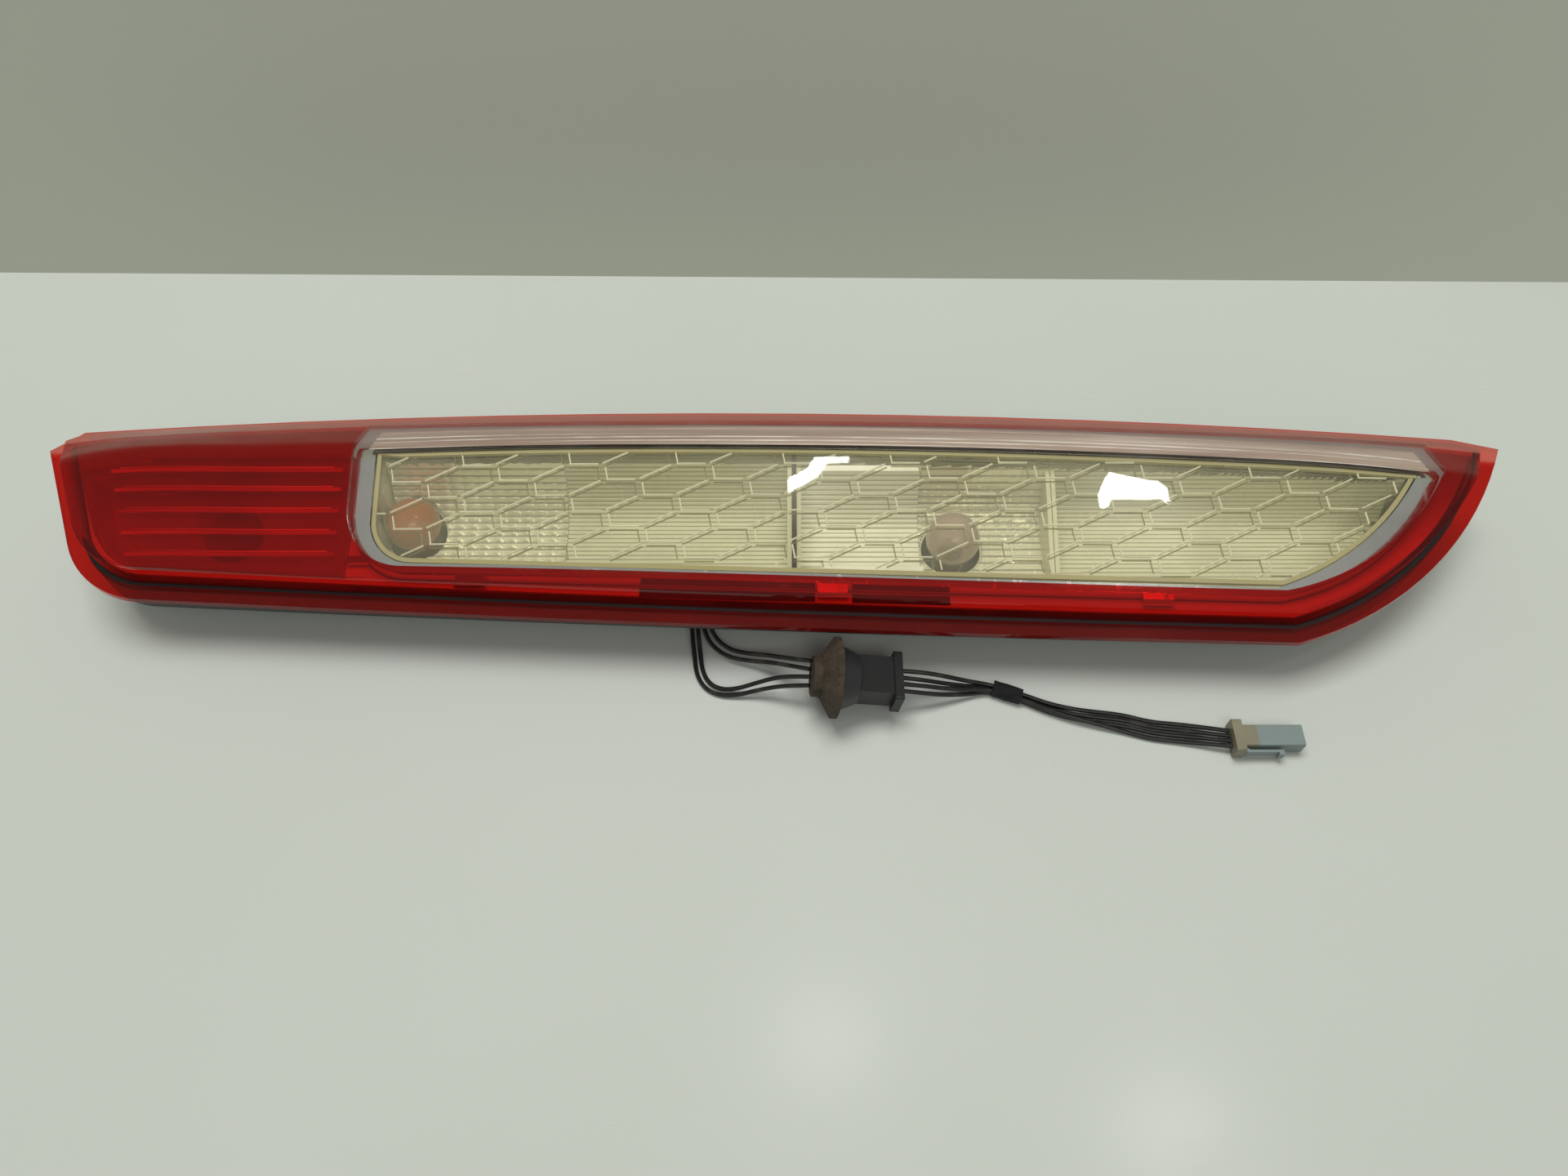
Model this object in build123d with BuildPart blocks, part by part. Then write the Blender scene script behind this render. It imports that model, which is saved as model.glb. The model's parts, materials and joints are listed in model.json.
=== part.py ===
"""Pillar-mounted rear combination lamp of a hatchback, lying on its back, with its pigtail harness.

Millimetres. X runs along the lamp towards its pointed end, Y across it towards the wrap-around side,
Z out of the lens. The origin is the centre of the lamp's footprint, at the tips of its studs.
"""

import math
import os

from build123d import *

os.makedirs("parts", exist_ok=True)

# ---------------------------------------------------------------- outline and crown of the outer lens
HALF_LENGTH = 353.0  # from the centre to either end of the lens flange
HALF_WIDTH = 59.7
LEFT_CORNER_R = 44.0
RIM_HEIGHT = 43.7  # parting plane over the origin
RIM_TILT = 9.0  # degrees, the far side is higher
FLANGE_OVER = 1.0  # flange top above the parting plane
FLANGE_THICK = 3.0
DOME_INSET = 8.0  # flange width outside the dome
FAR_EXTRA = 5.0  # how much narrower the flange is on the far side
FAR_CROWN_X = -29.4  # where the far edge stands furthest out
FAR_SAG = 15.0  # how far the far edge falls back at its right end
FAR_LEFT = (-HALF_LENGTH + 15, -HALF_LENGTH, HALF_WIDTH - 21.2)  # far left corner: two x values, y
FAR_RIGHT_X = HALF_LENGTH - 22
TIP_Y = HALF_WIDTH - 20.2
TIP_MID = (HALF_LENGTH - 43, -HALF_WIDTH + 38.7)
NEAR_RIGHT_X = HALF_LENGTH - 114
NEAR_MID_Y = -HALF_WIDTH + 7.7
NEAR_LEFT = (-HALF_LENGTH + 31, -HALF_WIDTH + 22.7)
LENS_THICK = 2.5
CREASE_R = 9.0
FACE_SLOPE = 18.0  # degrees
WRAP_EDGE = 4.0  # wrap surface above the parting plane at the far edge
CROWN_TOP = 74.0
# along X: how far the crease is from the lamp's far side, and how far it lies below the crown's top
CREASE_STATIONS = [
    (-HALF_LENGTH + 2, 39.2, 16),
    (-HALF_LENGTH + 28, 37.2, 6.5),
    (-250, 34.7, 2.5),
    (-130, 33.2, 0.6),
    (-20, 33.2, 0),
    (100, 34.2, 0.6),
    (HALF_LENGTH - 142, 37.7, 2.2),
    (HALF_LENGTH - 63, 43.2, 5.2),
    (HALF_LENGTH - 28, 46.2, 10),
    (HALF_LENGTH + 1, 49.2, 17),
]
CREASE = [(x, HALF_WIDTH - back, below) for x, back, below in CREASE_STATIONS]
PLAN_FLOOR = 12.0  # bodies that are cut out of the crown start below everything
SLOPE = math.tan(math.radians(FACE_SLOPE))
VERTICAL = 1.08  # a wall's vertical height over its thickness, on the sloping crown

# ---------------------------------------------------------------- weld and housing
LEG_INSET = 7.2
LEG_THICK = 1.1
LEG_DEPTH = 3.0
WELD_CLEAR = 0.25
WALL_INSET = 6.0
WALL_THICK = 3.6
BACK_Z = 22.0  # underside of the housing floor
FLOOR_THICK = 2.5
FLOOR_TOP = BACK_Z + FLOOR_THICK
SEAT_CLEAR = 0.3

# ---------------------------------------------------------------- clear window, bezel and inner lenses
WINDOW_LEFT = -196.5
WINDOW_TIP = (HALF_LENGTH - 39, HALF_WIDTH - 42.7)
WINDOW_MID = (HALF_LENGTH - 70, -HALF_WIDTH + 40.7)
WINDOW_NEAR_RIGHT = (HALF_LENGTH - 121, -HALF_WIDTH + 18.2)
WINDOW_NEAR_LEFT = -HALF_WIDTH + 30.2
WINDOW_CORNER_R = 27.0
WRAP_BAND = 21.0  # the clear wrap band over the crease
BEZEL_DROP = 6.0
BEZEL_THICK = 1.8
BEZEL_SKIRT = 10.0
BEZEL_TOP_BAR = 4.5
HEX_LEFT = -187.0
HEX_TIP = (HALF_LENGTH - 51, HALF_WIDTH - 43.2)
HEX_MID = (HALF_LENGTH - 83, -HALF_WIDTH + 42.2)
HEX_NEAR_RIGHT = (HALF_LENGTH - 123, -HALF_WIDTH + 22.7)
HEX_NEAR_LEFT = -HALF_WIDTH + 34.7
HEX_CORNER_R = 20.0
HEX_DROP = 6.6
HEX_THICK = 2.0
HEX_SKIRT = 7.5
FIT = 0.35  # clearance round a piece that drops into another
SNAP_X = (-140.0, 27.0, 176.0)
SNAP_W = 14.0
SNAP_REACH = 6.4 - LENS_THICK
SNAP_THICK = 1.6
SNAP_OVER = 1.2  # snap tongue above the trim ledge
CORNER_SNAP = (-193.0, -HALF_WIDTH + 38.2)
CORNER_SNAP_W = 10.0

# ---------------------------------------------------------------- red compartment
RIB_LEFT = -HALF_LENGTH + 19
RIB_RIGHT = -199.0
RIB_BACK = (35.2, 41.7, 50.7, 60.7, 70.7, 80.7)  # from the lamp's far side
RIB_STEP = 3.0  # each bar starts this much further right than the one behind it
RIB_START = 19.0
RIB_END = 3.0
RIB_W = 2.2
RIB_H = 3.0
OPTIC_DROP = 9.5
OPTIC_THICK = 1.8
OPTIC_SKIRT = 5.0
LEDGE_INSET = 11.2
LEDGE_OVER = 1.6  # trim ledge above the parting plane
LEDGE_THICK = 1.4
SLOT_X = (-60.0, 79.0)  # drain slot in the ledge, interrupted by the middle snap
SLOT_W = 2.6
SLOT_BACK = 2.9  # its middle, from the bezel's edge
SLOT_BRIDGE = 9.0

# ---------------------------------------------------------------- bulbs and reflectors
BULB_XY = {"stop": (-262.0, 2.0), "turn": (-173.0, 3.0), "reversing": (85.0, -5.5)}
BULB_BOTTOM = 2.6
BULB_TOP = 52.0
BULB_BASE_R = 7.5
BULB_BASE_H = 17.0
BULB_GLASS_R = 12.8
BULB_NECK_R = 6.6
REFLECTOR_BOTTOM = FLOOR_TOP + SEAT_CLEAR
TROUGH_R = 58.0
TROUGH_FLOOR = 29.0
TROUGH_TILT_Y = -9.0
REFLECTOR_WALL = 2.0
PARTITION_X = 9.5
PARTITION_THICK = 1.6
END_PANEL_X = 131.0
BULB_HOLE_R = BULB_GLASS_R + 1.4

# ---------------------------------------------------------------- bulb carrier
CARRIER_X = (-292.0, 118.0)
CARRIER_Y = (-23.5, 23.5)
CARRIER_Z = 11.0
CARRIER_THICK = 2.5
CARRIER_WALL = 2.0
CARRIER_CORNER = 8.0
GASKET_THICK = 1.5
GASKET_WIDTH = 4.0
SOCKET_R = 10.5
SOCKET_BORE = BULB_BASE_R + 0.15
SOCKET_FLOOR = 1.0
SOCKET_BOTTOM = 0.0
RAIL_THICK = 0.8
RAIL_W = 3.0
OUTLET_X = -35.5
OUTLET_W = 14.0
OUTLET_Y = -28.0
OUTLET_H = 7.0
OUTLET_LAP = 4.0
LATCH_X = (-205.0, 40.0)
LATCH_W = 10.0
LATCH_THICK = 1.6
LATCH_ROOT_R = 1.2
LATCH_HOOK = 0.9
LATCH_TIP = 4.0
LATCH_CLEAR = 0.3

# ---------------------------------------------------------------- fixings
STUD_X = 237.5
STUD_Y = HALF_WIDTH - 21.7
STUD_R = 3.0
STUD_COLLAR_R = 7.0
STUD_COLLAR_H = 3.0
PEG_XY = ((-150.0, -HALF_WIDTH + 30.2), (180.0, -HALF_WIDTH + 19.7))
PEG_R = 3.5
PEG_TIP_Z = 15.0

# ---------------------------------------------------------------- harness
WIRE_R = 1.05
GROMMET_TILT = 8.0  # degrees, the block end hangs lower
DISC_X = 21.5
DISC_Y = -HALF_WIDTH - 9.3
DISC_R = 19.0
DISC_THICK = 8.0
DISC_RAKE = (5.5, 9.0)  # conical outer face: along the axis, across it
NUB_R = 9.5
NUB_LENGTH = 4.0
COLLAR_R = 15.5
COLLAR_END_R = 11.5
COLLAR_LENGTH = 9.0
BLOCK_LENGTH = 20.5
BLOCK_W = 19.0
BLOCK_H = 13.0
BLOCK_FLANGE = 4.0
BLOCK_FLANGE_W = 25.0
BLOCK_FLANGE_H = 15.0
SLEEVE_START = (103.0, -66.0)
SLEEVE_END = (117.5, -71.2)
SLEEVE_W = 7.4
SLEEVE_H = 5.8
SLEEVE_BORE_W = 5.7
SLEEVE_BORE_H = 4.9
PLUG_X = 211.0
PLUG_Y = -93.0
PLUG_FLANGE = 4.5
PLUG_FLANGE_W = 16.0
PLUG_FLANGE_H = 9.4
PLUG_REAR_LENGTH = 11.0
PLUG_LENGTH = 21.0
PLUG_W = 10.5
PLUG_H = 8.0
PLUG_BASE = 0.7
PLUG_PITCH = 2.5
TERMINAL = 1.5
TERMINAL_HOLE = 1.8
TERMINAL_DEPTH = 9.0
TERMINAL_LENGTH = 7.0
LEVER_LENGTH = 16.5
LEVER_W = 4.6
LEVER_THICK = 1.2
LEVER_ROOT_R = 0.9

# routes of the wires, from the carrier's outlet to the grommet and from its block to the plug
PAIR_WIRES = {
    "a1": [(-32, -28.3, 8), (-31.5, -34, 7), (-28, -41, 5.5), (-21.5, -46.5, 5), (-13, -49.2, 6),
           (-4, -51.5, 9), (5, -55.5, 13.5), (12, -59.6, 19), (17.1, -63, 24.3)],
    "a2": [(-34.8, -28.3, 8), (-34.6, -35, 6.6), (-31, -43, 4.2), (-23.5, -49.3, 3.6), (-14, -52, 4),
           (-5, -54.2, 7), (4, -58, 11.5), (11.5, -62.3, 16.6), (16.7, -65.8, 21.2)],
    "b1": [(-37.6, -28.4, 7.5), (-37.2, -36, 5), (-35.8, -46, 2.2), (-34.6, -56, 1.4), (-31, -63, 1.4),
           (-25, -66.3, 1.6), (-17.5, -66.6, 3), (-9, -65.6, 6.6), (0, -65.2, 11.4), (9, -66.6, 15.9),
           (16.8, -68.3, 18.4)],
    "b2": [(-40.4, -28.4, 7.5), (-40, -37, 4.5), (-38.6, -48, 1.7), (-37.2, -58.5, 1.3), (-32.6, -66, 1.3),
           (-25.5, -69.4, 1.3), (-17, -69.6, 2.2), (-8, -68.6, 5.4), (1, -68.8, 9.4), (9.5, -70, 13),
           (16.4, -71.2, 15.4)],
}
PLUG_WIRES = {
    "1": [(59.2, -63.5, 15.2), (69, -63.6, 14.2), (80, -63.9, 10.8), (91.5, -64.4, 6.6), (103.4, -65, 3.6),
          (117.9, -70.1, 3.6), (129, -74.8, 3.6), (141, -77.6, 3.2), (152, -78.4, 2), (164, -79.6, 1.3),
          (176, -83.2, 1.3), (188, -84.4, 1.5), (199.5, -86.6, 2.8), (210.7, -89.2, 4.5)],
    "2": [(59, -66.5, 14.2), (69, -66.6, 12.2), (80, -66.2, 7.8), (91.5, -65.5, 3.6), (103.4, -65, 1.4),
          (117.9, -70.1, 1.4), (128.5, -75.3, 1.35), (140, -79, 1.3), (152, -80.9, 1.3), (164, -82.3, 1.3),
          (176, -86, 1.35), (188, -87.4, 1.5), (199.5, -89.4, 2.8), (210.7, -91.7, 4.5)],
    "3": [(59, -70, 14.6), (69, -70, 12.8), (80, -69.6, 9.2), (91.5, -68.4, 5.8), (102.6, -67.2, 3.6),
          (117.1, -72.3, 3.6), (127.6, -77.5, 3.6), (139.2, -81.8, 3.6), (151, -85.1, 3.1), (163, -88.2, 1.5),
          (175, -91.8, 1.3), (187, -93.2, 1.5), (199.5, -95, 2.8), (210.7, -96.8, 4.5)],
    "4": [(58.9, -73, 13.4), (69, -73, 11.2), (80, -71.8, 6.6), (91.5, -69.6, 3), (102.6, -67.2, 1.4),
          (117.1, -72.3, 1.4), (127.5, -77.6, 1.35), (139.3, -81.4, 1.3), (151.5, -83.6, 1.3),
          (163.5, -85.2, 1.3), (175.5, -88.8, 1.35), (187.5, -90.3, 1.5), (199.5, -92.2, 2.8),
          (210.7, -94.3, 4.5)],
}

RIM_PLANE = Plane(
    origin=(0, 0, RIM_HEIGHT),
    x_dir=(1, 0, 0),
    z_dir=(0, -math.sin(math.radians(RIM_TILT)), math.cos(math.radians(RIM_TILT))),
)


def rim_z(y):
    """Height of the parting plane."""
    return RIM_HEIGHT + y * math.tan(math.radians(RIM_TILT))


def finish(part, name):
    """Label a finished piece and write it."""
    part.label = name
    export_step(part, f"parts/{name}.step")


def far_edge(x):
    """The far edge of the flange in plan, a shallow arc."""
    return HALF_WIDTH - FAR_SAG * ((x - FAR_CROWN_X) / (FAR_RIGHT_X - FAR_CROWN_X)) ** 2


def lamp_plan(inset=0.0, far_extra=0.0):
    """Lamp outline in plan, drawn in by inset, with its far edge first moved out by far_extra."""
    far_left_x, left, far_left_y = FAR_LEFT
    with BuildSketch() as plan:
        with BuildLine():
            far = ThreePointArc(
                (far_left_x, far_edge(far_left_x) + far_extra),
                (FAR_CROWN_X, far_edge(FAR_CROWN_X) + far_extra),
                (FAR_RIGHT_X, far_edge(FAR_RIGHT_X) + far_extra),
            )
            tip = (HALF_LENGTH, TIP_Y + far_extra)
            Line(far @ 1, tip)
            ThreePointArc(tip, TIP_MID, (NEAR_RIGHT_X, -HALF_WIDTH))
            ThreePointArc((NEAR_RIGHT_X, -HALF_WIDTH), (0, NEAR_MID_Y), NEAR_LEFT)
            Line(NEAR_LEFT, (left, far_left_y + far_extra))
            Line((left, far_left_y + far_extra), far @ 0)
        make_face()
        fillet(plan.vertices().sort_by_distance(NEAR_LEFT)[0], LEFT_CORNER_R)
        if inset:
            offset(amount=-inset, mode=Mode.REPLACE)
    return plan.sketch


def lamp_body(inset, bottom, top):
    """Upright prism on the lamp outline."""
    with BuildPart() as body:
        with BuildSketch(Plane.XY.offset(bottom)):
            add(lamp_plan(inset, FAR_EXTRA))
        extrude(amount=top - bottom)
    return body.part


def crown_body(drop=0.0):
    """Everything under the lens surface moved down by drop."""
    with BuildPart() as body:
        for x, crease_y, below in CREASE:
            crease_z = CROWN_TOP - below - drop
            edge_y = far_edge(x) - DOME_INSET + FAR_EXTRA
            wrap = (crease_z - rim_z(edge_y) - WRAP_EDGE + drop) / (edge_y - crease_y)
            near_y = -HALF_WIDTH - 20
            far_y = HALF_WIDTH + 15
            with BuildSketch(Plane.YZ.offset(x)) as section:
                with BuildLine():
                    Polyline(
                        (near_y, 0),
                        (far_y, 0),
                        (far_y, crease_z - wrap * (far_y - crease_y)),
                        (crease_y, crease_z),
                        (near_y, crease_z - SLOPE * (crease_y - near_y)),
                        close=True,
                    )
                make_face()
                fillet(section.vertices().sort_by_distance((crease_y, crease_z))[0], CREASE_R)
        loft()
    return body.part


def above_rim(height, slab=80.0):
    """The space above the parting plane raised by height."""
    with BuildPart() as space:
        with BuildSketch(RIM_PLANE.offset(height)):
            Rectangle(3 * HALF_LENGTH, 6 * HALF_WIDTH)
        extrude(amount=slab)
    return space.part


def under_rim(height, slab=80.0):
    """The space below the parting plane raised by height."""
    with BuildPart() as space:
        with BuildSketch(RIM_PLANE.offset(height)):
            Rectangle(3 * HALF_LENGTH, 6 * HALF_WIDTH)
        extrude(amount=-slab)
    return space.part


def crease_y_at(x):
    """Crease position between its stations."""
    for (x0, y0, _), (x1, y1, _) in zip(CREASE, CREASE[1:]):
        if x <= x1:
            return y0 + (y1 - y0) * (x - x0) / (x1 - x0)
    return CREASE[-1][1]


def window_plan(left, tip, mid, near_right, near_left, corner_r, over, grow=0.0):
    """Window outline: straight left side, rounded corner, curved pointed end, far side along the crease."""
    far_left = (left, crease_y_at(left) + over)
    far_mid = (60.0, crease_y_at(60.0) + over + 0.5)
    far_tip = (tip[0], tip[1] + over)
    with BuildSketch() as plan:
        with BuildLine():
            ThreePointArc(far_left, far_mid, far_tip)
            if over:
                Line(far_tip, tip)
            ThreePointArc(tip, mid, near_right)
            Line(near_right, (left, near_left))
            Line((left, near_left), far_left)
        make_face()
        fillet(plan.vertices().sort_by_distance((left, near_left))[0], corner_r)
        if grow:
            offset(amount=grow, mode=Mode.REPLACE)
    return plan.sketch


def bezel_plan(over, grow=0.0):
    """Outline of the clear window, its far side moved past the crease by over."""
    return window_plan(
        WINDOW_LEFT, WINDOW_TIP, WINDOW_MID, WINDOW_NEAR_RIGHT, WINDOW_NEAR_LEFT, WINDOW_CORNER_R, over, grow
    )


def hex_plan(grow=0.0):
    """Outline of the patterned inner lens."""
    return window_plan(
        HEX_LEFT, HEX_TIP, HEX_MID, HEX_NEAR_RIGHT, HEX_NEAR_LEFT, HEX_CORNER_R, 0.0, grow
    )


def upright(plan, bottom=PLAN_FLOOR, top=90.0):
    """Upright prism on a plan sketch."""
    with BuildPart() as body:
        with BuildSketch(Plane.XY.offset(bottom)):
            add(plan)
        extrude(amount=top - bottom)
    return body.part


def cup(plan, inner_plan, drop, thick, skirt):
    """A cover that follows the crown, with a skirt all round."""
    with BuildPart() as hollow:
        add(upright(inner_plan))
        add(crown_body(drop + thick * VERTICAL), mode=Mode.INTERSECT)
    with BuildPart() as body:
        add(upright(plan))
        add(crown_body(drop), mode=Mode.INTERSECT)
        add(crown_body(drop + skirt), mode=Mode.SUBTRACT)
        add(hollow.part, mode=Mode.SUBTRACT)
    return body.part


# ================================================================ outer lens, moulded in two colours
FLANGE_UNDER = FLANGE_OVER - FLANGE_THICK

with BuildPart() as lens_inside:
    add(lamp_body(DOME_INSET + LENS_THICK, PLAN_FLOOR, CROWN_TOP + 5))
    add(crown_body(LENS_THICK * VERTICAL), mode=Mode.INTERSECT)

with BuildPart() as weld_leg:
    add(lamp_body(LEG_INSET, PLAN_FLOOR, CROWN_TOP))
    add(lamp_body(LEG_INSET + LEG_THICK, PLAN_FLOOR, CROWN_TOP), mode=Mode.SUBTRACT)
    add(under_rim(FLANGE_UNDER), mode=Mode.INTERSECT)
    add(above_rim(FLANGE_UNDER - LEG_DEPTH), mode=Mode.INTERSECT)

with BuildPart() as flange:
    with BuildSketch(Plane.XY.offset(PLAN_FLOOR)):
        add(lamp_plan())
    extrude(amount=CROWN_TOP)
    add(under_rim(FLANGE_OVER), mode=Mode.INTERSECT)

with BuildPart() as outer_lens:
    add(lamp_body(DOME_INSET, PLAN_FLOOR, CROWN_TOP + 5))
    add(crown_body(), mode=Mode.INTERSECT)
    add(flange.part)
    add(under_rim(FLANGE_UNDER), mode=Mode.SUBTRACT)
    add(lens_inside.part, mode=Mode.SUBTRACT)
    add(weld_leg.part)

with BuildPart() as outer_lens_red:
    add(outer_lens.part)
    add(upright(bezel_plan(WRAP_BAND)), mode=Mode.SUBTRACT)
finish(outer_lens_red.part, "outer_lens_red")

with BuildPart() as outer_lens_clear:
    add(outer_lens.part)
    add(upright(bezel_plan(WRAP_BAND)), mode=Mode.INTERSECT)
finish(outer_lens_clear.part, "outer_lens_clear")

# ================================================================ housing
CARRIER_LENGTH = CARRIER_X[1] - CARRIER_X[0]
CARRIER_WIDTH = CARRIER_Y[1] - CARRIER_Y[0]
CARRIER_MID = ((CARRIER_X[0] + CARRIER_X[1]) / 2, (CARRIER_Y[0] + CARRIER_Y[1]) / 2)
STUD_XY = ((-STUD_X, STUD_Y), (STUD_X, STUD_Y))

with BuildPart() as weld_groove:
    add(lamp_body(LEG_INSET - WELD_CLEAR, BACK_Z, CROWN_TOP))
    add(lamp_body(LEG_INSET + LEG_THICK + WELD_CLEAR, BACK_Z, CROWN_TOP), mode=Mode.SUBTRACT)
    add(above_rim(FLANGE_UNDER - LEG_DEPTH - WELD_CLEAR), mode=Mode.INTERSECT)

with BuildPart() as housing:
    add(lamp_body(WALL_INSET, BACK_Z, CROWN_TOP))
    add(lamp_body(WALL_INSET + WALL_THICK, FLOOR_TOP, CROWN_TOP), mode=Mode.SUBTRACT)
    add(under_rim(FLANGE_UNDER), mode=Mode.INTERSECT)
    add(weld_groove.part, mode=Mode.SUBTRACT)
    with BuildSketch(Plane.XY.offset(BACK_Z)):
        with Locations(CARRIER_MID):
            RectangleRounded(
                CARRIER_LENGTH - 2 * GASKET_WIDTH,
                CARRIER_WIDTH - 2 * GASKET_WIDTH,
                CARRIER_CORNER - GASKET_WIDTH,
            )
    extrude(amount=FLOOR_THICK, mode=Mode.SUBTRACT)
    with BuildSketch(Plane.XY.offset(BACK_Z)):
        with Locations(*STUD_XY):
            Circle(STUD_R)
    extrude(amount=FLOOR_THICK, mode=Mode.SUBTRACT)
    with BuildSketch(Plane.XY.offset(PEG_TIP_Z)):
        with Locations(*PEG_XY):
            Circle(PEG_R)
    extrude(amount=BACK_Z - PEG_TIP_Z)
    chamfer(housing.faces().sort_by(Axis.Z)[0:2].edges(), 0.8)
finish(housing.part, "housing")

for side, (stud_x, stud_y) in zip(("left", "right"), STUD_XY):
    with BuildPart() as stud:
        with BuildSketch():
            with Locations((stud_x, stud_y)):
                Circle(STUD_R)
        extrude(amount=FLOOR_TOP)
        chamfer(stud.faces().sort_by(Axis.Z)[0].edges(), 0.8)
        with BuildSketch(Plane.XY.offset(BACK_Z - STUD_COLLAR_H)):
            with Locations((stud_x, stud_y)):
                Circle(STUD_COLLAR_R)
        extrude(amount=STUD_COLLAR_H)
    finish(stud.part, f"mounting_stud_{side}")

# ================================================================ chrome bezel
def near_edge_y(x):
    """Near side of the bezel in plan."""
    slope = (WINDOW_NEAR_RIGHT[1] - WINDOW_NEAR_LEFT) / (WINDOW_NEAR_RIGHT[0] - WINDOW_LEFT)
    return WINDOW_NEAR_LEFT + slope * (x - WINDOW_LEFT)


with BuildPart() as bezel_wall:
    add(upright(hex_plan(FIT + BEZEL_THICK)))
    add(crown_body(BEZEL_DROP), mode=Mode.INTERSECT)
    add(crown_body(BEZEL_DROP + BEZEL_SKIRT), mode=Mode.SUBTRACT)

with BuildPart() as chrome_bezel:
    add(
        cup(
            bezel_plan(BEZEL_TOP_BAR),
            bezel_plan(BEZEL_TOP_BAR, -BEZEL_THICK),
            BEZEL_DROP,
            BEZEL_THICK,
            BEZEL_SKIRT,
        )
    )
    add(bezel_wall.part)
    add(upright(hex_plan(FIT)), mode=Mode.SUBTRACT)
    for snap_x in SNAP_X:
        snap_y = near_edge_y(snap_x)
        tongue = Box(
            SNAP_W,
            SNAP_REACH + BEZEL_THICK,
            SNAP_THICK,
            align=(Align.CENTER, Align.MAX, Align.MIN),
            mode=Mode.PRIVATE,
        )
        snap_z = rim_z(snap_y) + LEDGE_OVER + LEDGE_THICK + SNAP_OVER
        add(Pos(snap_x, snap_y + BEZEL_THICK, snap_z) * tongue)
    corner = Box(CORNER_SNAP_W, SNAP_REACH, SNAP_THICK, mode=Mode.PRIVATE)
    corner_z = rim_z(CORNER_SNAP[1]) + LEDGE_OVER + LEDGE_THICK + SNAP_OVER + SNAP_THICK / 2
    add(Pos(*CORNER_SNAP, corner_z) * corner)
finish(chrome_bezel.part, "chrome_bezel")

# ================================================================ patterned inner lens
finish(cup(hex_plan(), hex_plan(-HEX_THICK), HEX_DROP, HEX_THICK, HEX_SKIRT), "pattern_lens")


# ================================================================ red compartment
def optic_plan(grow=0.0):
    """The part of the lamp's plan left of the window, up to the crease."""
    with BuildSketch() as plan:
        add(lamp_plan(14.0, FAR_EXTRA))
        with BuildSketch(mode=Mode.INTERSECT):
            with BuildLine():
                Polyline(
                    (-HALF_LENGTH, -HALF_WIDTH),
                    (RIB_RIGHT, -HALF_WIDTH),
                    (RIB_RIGHT, crease_y_at(RIB_RIGHT) + 1),
                    (-HALF_LENGTH, crease_y_at(-HALF_LENGTH) + 1),
                    close=True,
                )
            make_face()
        if grow:
            offset(amount=grow, mode=Mode.REPLACE)
    return plan.sketch


with BuildPart() as rib_bars:
    for i, rib_back in enumerate(RIB_BACK):
        rib_left = RIB_LEFT + RIB_START + i * RIB_STEP
        with BuildSketch(Plane.XY.offset(PLAN_FLOOR)):
            with Locations(((rib_left + RIB_RIGHT - RIB_END) / 2, HALF_WIDTH - rib_back)):
                SlotOverall(RIB_RIGHT - RIB_END - rib_left, RIB_W)
        extrude(amount=CROWN_TOP)
    add(crown_body(OPTIC_DROP - RIB_H), mode=Mode.INTERSECT)
    add(crown_body(OPTIC_DROP + OPTIC_THICK / 2), mode=Mode.SUBTRACT)
    add(upright(optic_plan()), mode=Mode.INTERSECT)

with BuildPart() as rib_optic:
    add(cup(optic_plan(), optic_plan(-OPTIC_THICK), OPTIC_DROP, OPTIC_THICK, OPTIC_SKIRT))
    add(rib_bars.part)
finish(rib_optic.part, "stop_rib_lens")

# ================================================================ trim ledge round the window
SLOT_MID = SNAP_X[1]

with BuildPart() as trim_ledge:
    add(lamp_body(LEDGE_INSET, PLAN_FLOOR, CROWN_TOP))
    add(crown_body(LENS_THICK * VERTICAL + FIT), mode=Mode.INTERSECT)
    add(above_rim(LEDGE_OVER), mode=Mode.INTERSECT)
    add(under_rim(LEDGE_OVER + LEDGE_THICK), mode=Mode.INTERSECT)
    add(upright(bezel_plan(BEZEL_TOP_BAR, FIT)), mode=Mode.SUBTRACT)
    add(upright(optic_plan(FIT)), mode=Mode.SUBTRACT)
    for slot_left, slot_right in ((SLOT_X[0], SLOT_MID - SLOT_BRIDGE), (SLOT_MID + SLOT_BRIDGE, SLOT_X[1])):
        slot_x = (slot_left + slot_right) / 2
        slot_length = slot_right - slot_left
        slot = Box(slot_length, SLOT_W, CROWN_TOP, mode=Mode.PRIVATE)
        fall = near_edge_y(slot_right) - near_edge_y(slot_left)
        turned = Rot(0, 0, math.degrees(math.atan2(fall, slot_length))) * slot
        add(Pos(slot_x, near_edge_y(slot_x) - SLOT_BACK, CROWN_TOP / 2) * turned, mode=Mode.SUBTRACT)
finish(trim_ledge.part, "trim_ledge")

# ================================================================ reflectors
REFLECTOR_DROP = HEX_DROP + HEX_SKIRT + SEAT_CLEAR
STOP_DROP = OPTIC_DROP + OPTIC_SKIRT + SEAT_CLEAR


def x_slice(left, right):
    """The space between two stations along the lamp."""
    with BuildPart() as space:
        with BuildSketch():
            with Locations(((left + right) / 2, 0)):
                Rectangle(right - left, 3 * HALF_WIDTH)
        extrude(amount=CROWN_TOP + 5)
    return space.part


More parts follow.
